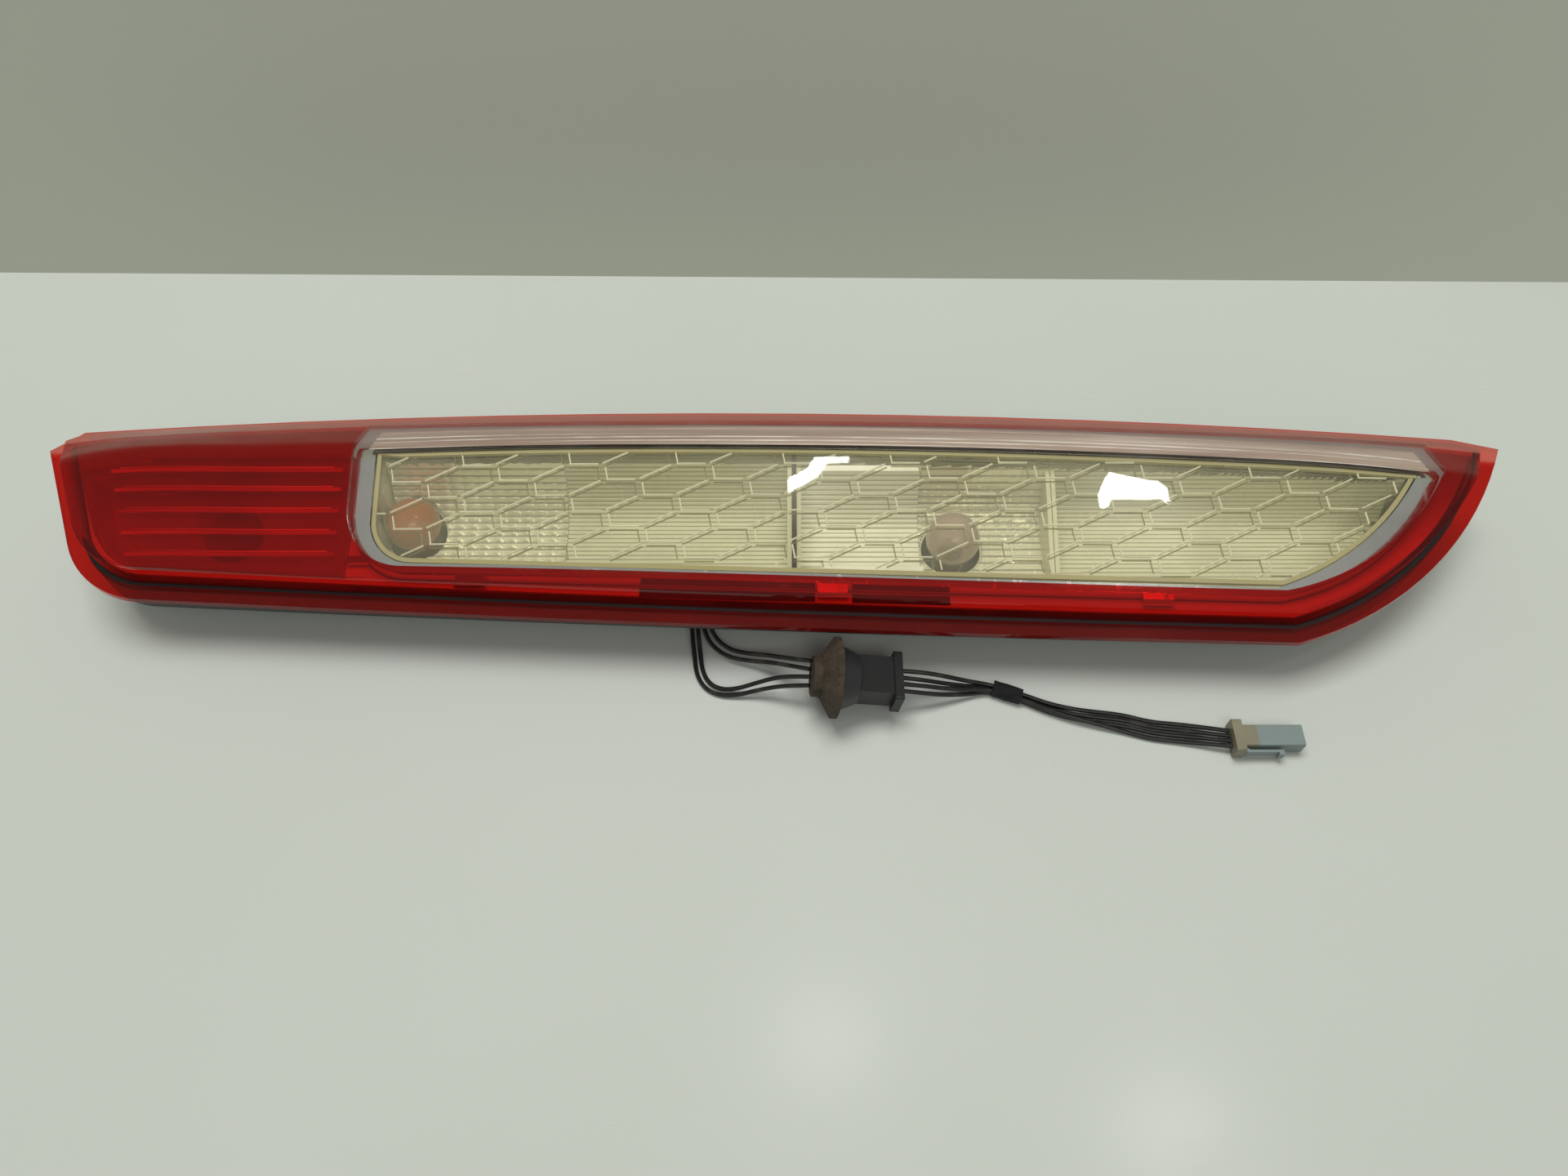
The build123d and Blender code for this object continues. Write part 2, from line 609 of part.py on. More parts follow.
def trough(plan, left, right, grow=0.0, mode=Mode.INTERSECT):
    """The space inside a reflector's walls, over its trough or, by subtraction, under it."""
    with BuildPart() as round_space:
        with BuildSketch(Plane.YZ.offset(-HALF_LENGTH)):
            with Locations((TROUGH_TILT_Y, TROUGH_FLOOR + TROUGH_R)):
                Circle(TROUGH_R + grow)
        extrude(amount=2 * HALF_LENGTH)
    with BuildPart() as hollow:
        add(upright(plan, REFLECTOR_BOTTOM, TROUGH_FLOOR + TROUGH_R))
        add(x_slice(left, right), mode=Mode.INTERSECT)
        add(round_space.part, mode=mode)
    return hollow.part


def reflector(plan, inner_plan, drop, left, right, bulb=None):
    """A metallised trough that stands on the housing floor and carries the lens over it."""
    with BuildPart() as body:
        add(upright(plan, REFLECTOR_BOTTOM))
        add(x_slice(left, right), mode=Mode.INTERSECT)
        add(crown_body(drop), mode=Mode.INTERSECT)
        add(trough(inner_plan, left + REFLECTOR_WALL, right - REFLECTOR_WALL), mode=Mode.SUBTRACT)
        add(
            trough(inner_plan, left + REFLECTOR_WALL, right - REFLECTOR_WALL, REFLECTOR_WALL, Mode.SUBTRACT),
            mode=Mode.SUBTRACT,
        )
        if bulb:
            with BuildSketch(Plane.XY.offset(REFLECTOR_BOTTOM)):
                with Locations(BULB_XY[bulb]):
                    Circle(BULB_HOLE_R)
            extrude(amount=TROUGH_R, mode=Mode.SUBTRACT)
    return body.part


PARTITION_LEFT = PARTITION_X - PARTITION_THICK / 2
PARTITION_RIGHT = PARTITION_X + PARTITION_THICK / 2
window_walls = (hex_plan(), hex_plan(-REFLECTOR_WALL), REFLECTOR_DROP)

finish(
    reflector(optic_plan(), optic_plan(-REFLECTOR_WALL), STOP_DROP, -HALF_LENGTH, RIB_RIGHT + 1, "stop"),
    "reflector_stop",
)
finish(reflector(*window_walls, HEX_LEFT - 1, PARTITION_LEFT - FIT, "turn"), "reflector_turn")
finish(reflector(*window_walls, PARTITION_RIGHT + FIT, END_PANEL_X - FIT, "reversing"), "reflector_reversing")
finish(reflector(*window_walls, END_PANEL_X, HALF_LENGTH), "reflector_end")

with BuildPart() as partition:
    add(upright(hex_plan(), REFLECTOR_BOTTOM))
    add(x_slice(PARTITION_LEFT, PARTITION_RIGHT), mode=Mode.INTERSECT)
    add(crown_body(REFLECTOR_DROP), mode=Mode.INTERSECT)
finish(partition.part, "light_partition")

# ================================================================ bulb carrier and its gasket
CARRIER_TOP = BACK_Z - GASKET_THICK
SOCKET_TOP = BULB_BOTTOM + BULB_BASE_H


def carrier_frame(inset):
    """Rounded rectangle on the carrier's outline, drawn in by inset."""
    with BuildSketch() as frame:
        with Locations(CARRIER_MID):
            RectangleRounded(
                CARRIER_LENGTH - 2 * inset, CARRIER_WIDTH - 2 * inset, CARRIER_CORNER - inset
            )
    return frame.sketch


with BuildPart() as bulb_carrier:
    with BuildSketch(Plane.XY.offset(CARRIER_Z)):
        add(carrier_frame(0))
    extrude(amount=CARRIER_TOP - CARRIER_Z)
    with BuildSketch(Plane.XY.offset(CARRIER_Z + CARRIER_THICK)):
        add(carrier_frame(CARRIER_WALL))
    extrude(amount=CARRIER_TOP, mode=Mode.SUBTRACT)
    with BuildSketch(Plane.XY.offset(SOCKET_BOTTOM)):
        with Locations(*BULB_XY.values()):
            Circle(SOCKET_R)
    extrude(amount=SOCKET_TOP - SOCKET_BOTTOM)
    with BuildSketch(Plane.XY.offset(SOCKET_BOTTOM + SOCKET_FLOOR)):
        with Locations(*BULB_XY.values()):
            Circle(SOCKET_BORE)
    extrude(amount=SOCKET_TOP, mode=Mode.SUBTRACT)
    with BuildSketch(Plane.XY.offset(CARRIER_Z - OUTLET_H)):
        with Locations((OUTLET_X, (OUTLET_Y + CARRIER_Y[0] + OUTLET_LAP) / 2)):
            Rectangle(OUTLET_W, CARRIER_Y[0] + OUTLET_LAP - OUTLET_Y)
    extrude(amount=OUTLET_H)
finish(bulb_carrier.part, "bulb_carrier")

with BuildPart() as carrier_gasket:
    with BuildSketch(Plane.XY.offset(CARRIER_TOP)):
        add(carrier_frame(0))
        add(carrier_frame(GASKET_WIDTH), mode=Mode.SUBTRACT)
    extrude(amount=GASKET_THICK)
finish(carrier_gasket.part, "carrier_gasket")

# ---------------------------------------------------------------- contact rails under the carrier
RAILS = {  # y of the rail, its two ends along x
    "ground": (17.0, BULB_XY["stop"][0] - 4, BULB_XY["reversing"][0] + 4),
    "stop": (-15.0, BULB_XY["stop"][0] - 2, OUTLET_X - 6),
    "turn": (-11.0, BULB_XY["turn"][0] - 2, OUTLET_X - 2),
    "reversing": (-14.0, OUTLET_X + 4, BULB_XY["reversing"][0] - 6.5),
}


def rail_tab(bulb, rail_y, z):
    """Tab from a rail to the side of a socket."""
    x, y = BULB_XY[bulb]
    reach = y + math.copysign(SOCKET_R, rail_y - y)
    tab = Box(RAIL_W, abs(rail_y - reach), RAIL_THICK)
    return Pos(x, (rail_y + reach) / 2, z) * tab


for name, (rail_y, rail_left, rail_right) in RAILS.items():
    rail_z = CARRIER_Z - RAIL_THICK / 2
    fed = BULB_XY if name == "ground" else [name]
    tabs = [rail_tab(bulb, rail_y, rail_z) for bulb in fed if name != "reversing"]
    with BuildPart() as rail:
        with Locations(((rail_left + rail_right) / 2, rail_y, rail_z)):
            Box(rail_right - rail_left, RAIL_W - 0.6, RAIL_THICK)
        for tab in tabs:
            add(tab)
        with BuildSketch(Plane.XY.offset(SOCKET_BOTTOM)):
            with Locations(*BULB_XY.values()):
                Circle(SOCKET_R)
        extrude(amount=SOCKET_TOP, mode=Mode.SUBTRACT)
    finish(rail.part, f"contact_rail_{name}")

with BuildPart() as contact_springs:
    with BuildSketch(Plane.XY.offset(SOCKET_BOTTOM + SOCKET_FLOOR)):
        with Locations(*BULB_XY.values()):
            Circle(BULB_NECK_R)
    extrude(amount=BULB_BOTTOM - SOCKET_BOTTOM - SOCKET_FLOOR)
finish(contact_springs.part, "contact_springs")

# ================================================================ bulbs
GLASS_THICK = 0.8
STEM_R = 2.6
STEM_H = 8.0
LEAD_APART = 2.4
LEAD_W = 0.6
LEAD_LENGTH = 12.0
COIL_LENGTH = 7.0
COIL_W = 0.9
GLASS_Z = BULB_TOP - BULB_GLASS_R

for name, (bulb_x, bulb_y) in BULB_XY.items():
    with BuildPart() as base:
        with BuildSketch(Plane.XY.offset(BULB_BOTTOM)):
            with Locations((bulb_x, bulb_y)):
                Circle(BULB_BASE_R)
        extrude(amount=BULB_BASE_H)
        chamfer(base.faces().sort_by(Axis.Z)[0].edges(), 1.2)
    finish(base.part, f"bulb_base_{name}")

    with BuildPart() as glass:
        with Locations((bulb_x, bulb_y, GLASS_Z)):
            Sphere(BULB_GLASS_R)
        with BuildSketch(Plane.XY.offset(SOCKET_TOP)):
            with Locations((bulb_x, bulb_y)):
                Circle(BULB_NECK_R)
        extrude(amount=GLASS_Z - SOCKET_TOP)
        with Locations((bulb_x, bulb_y, GLASS_Z)):
            Sphere(BULB_GLASS_R - GLASS_THICK, mode=Mode.SUBTRACT)
        with BuildSketch(Plane.XY.offset(SOCKET_TOP)):
            with Locations((bulb_x, bulb_y)):
                Circle(BULB_NECK_R - GLASS_THICK)
        extrude(amount=GLASS_Z - SOCKET_TOP, mode=Mode.SUBTRACT)
    finish(glass.part, f"bulb_glass_{name}")

with BuildPart() as filaments:
    with BuildSketch(Plane.XY.offset(SOCKET_TOP)):
        with Locations(*BULB_XY.values()):
            Circle(STEM_R)
    extrude(amount=STEM_H, taper=12)
    for bulb_x, bulb_y in BULB_XY.values():
        for lead in (-LEAD_APART / 2, LEAD_APART / 2):
            with Locations((bulb_x + lead, bulb_y, SOCKET_TOP + STEM_H - 1 + LEAD_LENGTH / 2)):
                Box(LEAD_W, LEAD_W, LEAD_LENGTH)
        with Locations((bulb_x, bulb_y, SOCKET_TOP + STEM_H - 1 + LEAD_LENGTH + COIL_W / 2 - 0.15)):
            Box(COIL_LENGTH, COIL_W, COIL_W)
finish(filaments.part, "bulb_filaments")

# ================================================================ carrier latches, moulded spring arms
LATCH_AXIS_Z = BACK_Z - LATCH_CLEAR - LATCH_ROOT_R
LATCH_OUT = LATCH_CLEAR + LATCH_THICK / 2

for side, edge_y, out in (("near", CARRIER_Y[0], -1), ("far", CARRIER_Y[1], 1)):
    for end, latch_x in zip(("left", "right"), LATCH_X):
        arm_y = edge_y + out * LATCH_OUT
        hook_top = CARRIER_Z - LATCH_CLEAR
        inner_y = edge_y + out * LATCH_CLEAR
        with BuildPart() as latch:
            with BuildSketch(Plane.YZ.offset(latch_x - LATCH_W / 2)):
                with BuildLine():
                    Polyline(
                        (arm_y + out * LATCH_THICK / 2, LATCH_AXIS_Z),
                        (inner_y, LATCH_AXIS_Z),
                        (inner_y, hook_top),
                        (edge_y - out * LATCH_HOOK, hook_top),
                        (edge_y - out * LATCH_HOOK, hook_top - 0.8),
                        (inner_y, hook_top - 2.6),
                        (inner_y, LATCH_TIP),
                        (arm_y + out * LATCH_THICK / 2, LATCH_TIP),
                        close=True,
                    )
                make_face()
                with Locations((inner_y + out * LATCH_ROOT_R, LATCH_AXIS_Z)):
                    Circle(LATCH_ROOT_R)
            extrude(amount=LATCH_W)
        finish(latch.part, f"carrier_latch_{side}_{end}")

# ================================================================ grommet and in-line block
TILT = math.radians(GROMMET_TILT)
GROMMET_Z = DISC_R * math.cos(TILT) + DISC_THICK * math.sin(TILT)


def grommet_plane(along):
    """Plane across the grommet's axis, this far along it from the disc's outer face."""
    return Plane(
        origin=(DISC_X + along * math.cos(TILT), DISC_Y, GROMMET_Z - along * math.sin(TILT)),
        x_dir=(0, 1, 0),
        z_dir=(math.cos(TILT), 0, -math.sin(TILT)),
    )


with BuildPart() as grommet_disc:
    with BuildSketch(grommet_plane(0)):
        Circle(DISC_R)
    extrude(amount=DISC_THICK)
    chamfer(grommet_disc.faces().sort_by(Axis.X)[0].edges(), *DISC_RAKE)
    with BuildSketch(grommet_plane(-NUB_LENGTH)):
        Circle(NUB_R)
    extrude(amount=NUB_LENGTH + 1)
finish(grommet_disc.part, "grommet_disc")

with BuildPart() as grommet_collar:
    with BuildSketch(grommet_plane(DISC_THICK)):
        Circle(COLLAR_R)
    with BuildSketch(grommet_plane(DISC_THICK + COLLAR_LENGTH)):
        Circle(COLLAR_END_R)
    loft()
finish(grommet_collar.part, "grommet_collar")

with BuildPart() as harness_block:
    with BuildSketch(grommet_plane(DISC_THICK + COLLAR_LENGTH)):
        Rectangle(BLOCK_W, BLOCK_H)
    extrude(amount=BLOCK_LENGTH - BLOCK_FLANGE)
    with BuildSketch(grommet_plane(DISC_THICK + COLLAR_LENGTH + BLOCK_LENGTH - BLOCK_FLANGE)):
        RectangleRounded(BLOCK_FLANGE_W, BLOCK_FLANGE_H, 1.5)
    extrude(amount=BLOCK_FLANGE)
finish(harness_block.part, "harness_block")


# ================================================================ wires
def bend_radii(points):
    """Largest tangent arcs that the runs on both sides of each point allow."""
    radii = []
    for before, here, after in zip(points, points[1:], points[2:]):
        run_in = Vector(*here) - Vector(*before)
        run_out = Vector(*after) - Vector(*here)
        half_turn = math.radians(run_in.get_angle(run_out)) / 2
        radii.append(0.45 * min(run_in.length, run_out.length) / math.tan(half_turn))
    return radii


def wire(points, name):
    """A wire as a round tube along straight runs and tangent arcs."""
    radii = bend_radii(points)
    with BuildPart() as tube:
        with BuildLine():
            path = FilletPolyline(*points, radius=radii)
        with BuildSketch(Plane(origin=path @ 0, z_dir=path % 0)):
            Circle(WIRE_R)
        sweep(path=path)
    section = math.pi * WIRE_R**2
    print(name, "radii", [round(r) for r in radii])
    print("  volume over section times length", round(tube.part.volume / section / path.length, 3))
    finish(tube.part, name)


for name, points in PAIR_WIRES.items():
    wire(points, f"lamp_wire_{name}")
for name, points in PLUG_WIRES.items():
    wire(points, f"plug_wire_{name}")

# ---------------------------------------------------------------- tape sleeve
SLEEVE_RUN = Vector(*SLEEVE_END) - Vector(*SLEEVE_START)
SLEEVE_DIR = SLEEVE_RUN.normalized()
SLEEVE_MID = Vector(*SLEEVE_START) + SLEEVE_RUN / 2
SLEEVE_LENGTH = SLEEVE_RUN.length - 1.5
SLEEVE_PLANE = Plane(
    origin=SLEEVE_MID - SLEEVE_DIR * (SLEEVE_LENGTH / 2) + Vector(0, 0, SLEEVE_H / 2),
    x_dir=(-SLEEVE_DIR.Y, SLEEVE_DIR.X, 0),
    z_dir=SLEEVE_DIR,
)

with BuildPart() as tape_sleeve:
    with BuildSketch(SLEEVE_PLANE):
        RectangleRounded(SLEEVE_W, SLEEVE_H, 2.2)
        with Locations((0, -(SLEEVE_H - SLEEVE_BORE_H) / 2 + 0.2)):
            RectangleRounded(SLEEVE_BORE_W, SLEEVE_BORE_H, 1.0, mode=Mode.SUBTRACT)
    extrude(amount=SLEEVE_LENGTH)
finish(tape_sleeve.part, "tape_sleeve")

# ================================================================ four-way plug
PLUG_MID_Z = PLUG_BASE + PLUG_H / 2
PLUG_SPLIT = PLUG_X + PLUG_REAR_LENGTH
TERMINAL_SPOTS = [(PLUG_Y + (i - 1.5) * PLUG_PITCH, PLUG_MID_Z) for i in range(4)]

with BuildPart() as plug_rear:
    with BuildSketch(Plane.YZ.offset(PLUG_X)):
        with Locations((PLUG_Y, PLUG_FLANGE_H / 2)):
            RectangleRounded(PLUG_FLANGE_W, PLUG_FLANGE_H, 1.4)
    extrude(amount=PLUG_FLANGE)
    with BuildSketch(Plane.YZ.offset(PLUG_X + PLUG_FLANGE)):
        with Locations((PLUG_Y, PLUG_MID_Z)):
            RectangleRounded(PLUG_W, PLUG_H, 0.8)
    extrude(amount=PLUG_REAR_LENGTH - PLUG_FLANGE)
finish(plug_rear.part, "plug_rear")

with BuildPart() as plug_body:
    with BuildSketch(Plane.YZ.offset(PLUG_SPLIT)):
        with Locations((PLUG_Y, PLUG_MID_Z)):
            RectangleRounded(PLUG_W, PLUG_H, 0.8)
    extrude(amount=PLUG_LENGTH)
    with BuildSketch(Plane.YZ.offset(PLUG_SPLIT + PLUG_LENGTH)):
        with Locations(*TERMINAL_SPOTS):
            Rectangle(TERMINAL_HOLE, TERMINAL_HOLE)
    extrude(amount=-TERMINAL_DEPTH, mode=Mode.SUBTRACT)
finish(plug_body.part, "plug_body")

with BuildPart() as plug_terminals:
    with BuildSketch(Plane.YZ.offset(PLUG_SPLIT + PLUG_LENGTH - TERMINAL_DEPTH)):
        with Locations(*TERMINAL_SPOTS):
            Rectangle(TERMINAL, TERMINAL)
    extrude(amount=TERMINAL_LENGTH)
finish(plug_terminals.part, "plug_terminals")

LEVER_AXIS = (PLUG_X + PLUG_FLANGE + LEVER_ROOT_R + 0.3, PLUG_Y - PLUG_FLANGE_W / 2 + LEVER_ROOT_R + 0.1)

with BuildPart() as plug_lever:
    with BuildSketch(Plane.XY.offset(PLUG_MID_Z - LEVER_W / 2)):
        with Locations(LEVER_AXIS):
            Circle(LEVER_ROOT_R)
        with Locations((LEVER_AXIS[0], LEVER_AXIS[1] - LEVER_ROOT_R + LEVER_THICK / 2)):
            Rectangle(LEVER_LENGTH, LEVER_THICK, align=(Align.MIN, Align.CENTER))
        with Locations((LEVER_AXIS[0] + LEVER_LENGTH - 2.5, LEVER_AXIS[1] - LEVER_ROOT_R)):
            Rectangle(2.5, 1.2, align=(Align.MIN, Align.MAX))
    extrude(amount=LEVER_W)
finish(plug_lever.part, "plug_lever")
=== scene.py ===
"""A pillar-mounted rear combination lamp on its back, with its pigtail harness, dressed on its CAD frame."""

import json
import math
import random

import bmesh
import bpy
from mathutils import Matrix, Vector
from mathutils.bvhtree import BVHTree

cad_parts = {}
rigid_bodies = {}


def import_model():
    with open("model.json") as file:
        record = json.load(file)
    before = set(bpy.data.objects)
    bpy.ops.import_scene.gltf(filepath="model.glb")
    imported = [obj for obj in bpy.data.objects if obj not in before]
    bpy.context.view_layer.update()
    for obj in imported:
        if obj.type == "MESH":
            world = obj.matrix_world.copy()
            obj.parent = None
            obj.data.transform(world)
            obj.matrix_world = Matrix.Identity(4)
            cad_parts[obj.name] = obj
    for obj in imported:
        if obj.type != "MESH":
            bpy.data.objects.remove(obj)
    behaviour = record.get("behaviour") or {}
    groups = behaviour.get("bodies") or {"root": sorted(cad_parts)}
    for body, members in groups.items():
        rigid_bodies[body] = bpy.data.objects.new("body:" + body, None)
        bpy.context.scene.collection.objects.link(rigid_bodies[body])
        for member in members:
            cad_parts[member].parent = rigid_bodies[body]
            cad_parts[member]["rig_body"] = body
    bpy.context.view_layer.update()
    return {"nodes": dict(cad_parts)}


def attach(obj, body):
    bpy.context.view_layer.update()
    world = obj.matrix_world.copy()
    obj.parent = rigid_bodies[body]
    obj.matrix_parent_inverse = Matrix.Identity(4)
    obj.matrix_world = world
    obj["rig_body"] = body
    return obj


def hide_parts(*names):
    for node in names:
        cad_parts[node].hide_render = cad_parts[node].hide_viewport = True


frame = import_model()
MM = 0.001

# ------------------------------------------------------------------------------------------------ camera
# A hand-held wide view from above the near edge of the table, looking down at the lamp, which fills most of
# the picture's width.
camera_data = bpy.data.cameras.new("view")
camera_data.sensor_width = 36  # mm, as is the lens
camera_data.lens = 27.04
camera = bpy.data.objects.new("view", camera_data)
camera.location = (0.0047, -0.3221, 0.5021)
camera.rotation_euler = (math.radians(32), 0, 0)
bpy.context.scene.collection.objects.link(camera)
bpy.context.scene.camera = camera
bpy.context.scene.view_settings.view_transform = "Standard"


# ------------------------------------------------------------------------------------------------ wires
# Four stranded conductors in black PVC, run loose in two pairs from the bulb carrier to the grommet, and as
# four from the in-line block through a taped bundle to the plug.
class Level:
    """A shader value that can be worked with like a number."""

    def __init__(self, finish, socket):
        self.finish, self.socket = finish, socket

    def sum(self, operation, first, second):
        return self.finish.node("ShaderNodeMath", {0: first, 1: second}, operation=operation)

    def __add__(self, other):
        return self.sum("ADD", self, other)

    def __radd__(self, other):
        return self.sum("ADD", other, self)

    def __sub__(self, other):
        return self.sum("SUBTRACT", self, other)

    def __rsub__(self, other):
        return self.sum("SUBTRACT", other, self)

    def __mul__(self, other):
        return self.sum("MULTIPLY", self, other)

    def __rmul__(self, other):
        return self.sum("MULTIPLY", other, self)

    def __pow__(self, other):
        return self.sum("POWER", self, other)


class Finish:
    """A surface finish; every node of it is made by node()."""

    def __init__(self, name):
        self.material = bpy.data.materials.new(name)
        self.material.use_nodes = True
        self.tree = self.material.node_tree
        self.tree.nodes.clear()

    def node(self, kind, inputs=None, output=0, **settings):
        """Any node: its kind, the values or links of its sockets, the output to use and its settings."""
        made = self.tree.nodes.new(kind)
        for name, value in settings.items():
            setattr(made, name, value)
        for key, value in (inputs or {}).items():
            if isinstance(value, Level):
                self.tree.links.new(value.socket, made.inputs[key])
            else:
                made.inputs[key].default_value = value
        return Level(self, made.outputs[output]) if made.outputs else None

    def at(self, stretch=(1, 1, 1)):
        """Place on the piece, stretched along each axis."""
        place = self.node("ShaderNodeTexCoord", output="Object")
        return self.node("ShaderNodeVectorMath", {0: place, 1: stretch}, operation="MULTIPLY")

    def along(self, axis):
        """One coordinate of the place on the piece."""
        return self.node("ShaderNodeSeparateXYZ", {0: self.at()}, output=axis)

    def noise(self, scale, detail=3.0, stretch=(1, 1, 1)):
        inputs = {"Vector": self.at(stretch), "Scale": scale, "Detail": detail, "Roughness": 0.55}
        return self.node("ShaderNodeTexNoise", inputs)

    def step(self, value, low, high):
        """0 under low, 1 over high, smooth between."""
        return self.node(
            "ShaderNodeMapRange",
            {"Value": value, "From Min": low, "From Max": high},
            interpolation_type="SMOOTHSTEP",
        )

    def mixed(self, factor, first, second):
        """Colour between two colours."""
        return self.node("ShaderNodeMix", {0: factor, 6: first, 7: second}, output=2, data_type="RGBA")

    def bump(self, height, depth):
        return self.node("ShaderNodeBump", {"Height": height, "Distance": depth})

    def shell(self, colour, roughness, **more):
        """An opaque surface."""
        inputs = {"Base Color": colour, "Roughness": roughness}
        inputs.update({name.replace("_", " "): value for name, value in more.items()})
        return self.node("ShaderNodeBsdfPrincipled", inputs)

    def skin(self, low):
        """Share of light that a clear gloss surface mirrors: low square on, all at grazing sight."""
        facing = self.node("ShaderNodeLayerWeight", {"Blend": 0.5}, output="Facing")
        return low + facing**5 * (1 - low)

    def over(self, factor, first, second):
        """One surface mixed with another."""
        return self.node("ShaderNodeMixShader", {0: factor, 1: first, 2: second})

    def done(self, surface):
        self.node("ShaderNodeOutputMaterial", {"Surface": surface})
        return self.material


WIRE = 2.1
WIRE_BLACK = (0.012, 0.011, 0.0105, 1)
WIRE_DUST = (0.06, 0.052, 0.042, 1)


def wire_finish():
    """Semi-gloss PVC with a little handling dust."""
    pvc = Finish("black_pvc")
    dust = pvc.step(pvc.noise(160, 4), 0.5, 0.78)
    grain = pvc.noise(1400, 2)
    colour = pvc.mixed(dust * 0.7, WIRE_BLACK, WIRE_DUST)
    return pvc.done(pvc.shell(colour, 0.32 + dust * 0.3, Normal=pvc.bump(grain, 0.00004)))


def run_wire(name, points, finish):
    """One wire as a round bevelled curve along its control points, in millimetres."""
    curve = bpy.data.curves.new(name, "CURVE")
    curve.dimensions = "3D"
    curve.bevel_depth = WIRE / 2 * MM
    curve.bevel_resolution = 5
    curve.resolution_u = 10
    curve.use_fill_caps = True
    line = curve.splines.new("NURBS")
    line.points.add(len(points) - 1)
    for point, (x, y, z) in zip(line.points, points):
        point.co = (x * MM, y * MM, z * MM, 1)
    line.order_u = 3
    line.use_endpoint_u = True
    curve.materials.append(finish)
    wire = bpy.data.objects.new(name, curve)
    bpy.context.scene.collection.objects.link(wire)
    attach(wire, "lamp")
    return wire


PVC = wire_finish()
PAIR_WIRES = {
    "a1": [(-32, -28.3, 8), (-31.5, -34, 7), (-28, -41, 5.5), (-21.5, -46.5, 5), (-13, -49.2, 6),
           (-4, -51.5, 9), (5, -55.5, 13.5), (12, -59.6, 19), (17.1, -63, 24.3)],
    "a2": [(-34.8, -28.3, 8), (-34.6, -35, 6.6), (-31, -43, 4.2), (-23.5, -49.3, 3.6), (-14, -52, 4),
           (-5, -54.2, 7), (4, -58, 11.5), (11.5, -62.3, 16.6), (16.7, -65.8, 21.2)],
    "b1": [(-37.6, -28.4, 7.5), (-37.2, -36, 5), (-35.8, -46, 2.2), (-34.6, -56, 1.4), (-31, -63, 1.4),
           (-25, -66.3, 1.6), (-17.5, -66.6, 3), (-9, -65.6, 6.6), (0, -65.2, 11.4), (9, -66.6, 15.9),
           (16.8, -68.3, 18.4)],
    "b2": [(-40.4, -28.4, 7.5), (-40, -37, 4.5), (-38.6, -48, 1.7), (-37.2, -58.5, 1.3), (-32.6, -66, 1.3),
           (-25.5, -69.4, 1.3), (-17, -69.6, 2.2), (-8, -68.6, 5.4), (1, -68.8, 9.4), (9.5, -70, 13),
           (16.4, -71.2, 15.4)],
}
PLUG_WIRES = {
    "1": [(59.2, -63.5, 15.2), (69, -63.6, 14.2), (80, -63.9, 10.8), (91.5, -64.4, 6.6), (103.4, -65, 3.6),
          (117.9, -70.1, 3.6), (129, -74.8, 3.6), (141, -77.6, 3.2), (152, -78.4, 2), (164, -79.6, 1.3),
          (176, -83.2, 1.3), (188, -84.4, 1.5), (199.5, -86.6, 2.8), (210.7, -89.2, 4.5)],
    "2": [(59, -66.5, 14.2), (69, -66.6, 12.2), (80, -66.2, 7.8), (91.5, -65.5, 3.6), (103.4, -65, 1.4),
          (117.9, -70.1, 1.4), (128.5, -75.3, 1.35), (140, -79, 1.3), (152, -80.9, 1.3), (164, -82.3, 1.3),
          (176, -86, 1.35), (188, -87.4, 1.5), (199.5, -89.4, 2.8), (210.7, -91.7, 4.5)],
    "3": [(59, -70, 14.6), (69, -70, 12.8), (80, -69.6, 9.2), (91.5, -68.4, 5.8), (102.6, -67.2, 3.6),
          (117.1, -72.3, 3.6), (127.6, -77.5, 3.6), (139.2, -81.8, 3.6), (151, -85.1, 3.1), (163, -88.2, 1.5),
          (175, -91.8, 1.3), (187, -93.2, 1.5), (199.5, -95, 2.8), (210.7, -96.8, 4.5)],
    "4": [(58.9, -73, 13.4), (69, -73, 11.2), (80, -71.8, 6.6), (91.5, -69.6, 3), (102.6, -67.2, 1.4),
          (117.1, -72.3, 1.4), (127.5, -77.6, 1.35), (139.3, -81.4, 1.3), (151.5, -83.6, 1.3),
          (163.5, -85.2, 1.3), (175.5, -88.8, 1.35), (187.5, -90.3, 1.5), (199.5, -92.2, 2.8),
          (210.7, -94.3, 4.5)],
}
GROMMET_PIECES = ["grommet_disc", "grommet_collar", "harness_block"]
PLUG_PIECES = ["tape_sleeve", "plug_rear", "plug_body", "plug_terminals", "plug_lever"]

for name, points in PAIR_WIRES.items():
    wire = run_wire(f"wire_{name}", points, PVC)
    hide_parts(f"lamp_wire_{name}")
    GROMMET_PIECES if name == "a1" else []
for name, points in PLUG_WIRES.items():
    wire = run_wire(f"wire_{name}", points, PVC)
    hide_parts(f"plug_wire_{name}")
    PLUG_PIECES if name == "1" else ["plug_rear"]


# ------------------------------------------------------------------------------------------- table and wall
# A gloss white laminated table top, slightly dusty, and a grey-green painted wall. Both are clear from their
# rear side, so that the lamp shows from behind and from below too.
TABLE_WHITE = (0.505, 0.53, 0.48, 1)
TABLE_WORN = (0.56, 0.585, 0.54, 1)
WALL_GREY = (0.64, 0.67, 0.57, 1)
WALL_SHADE = (0.57, 0.60, 0.505, 1)
WALL_FOOT = 0.2095  # where the wall stands behind the lamp


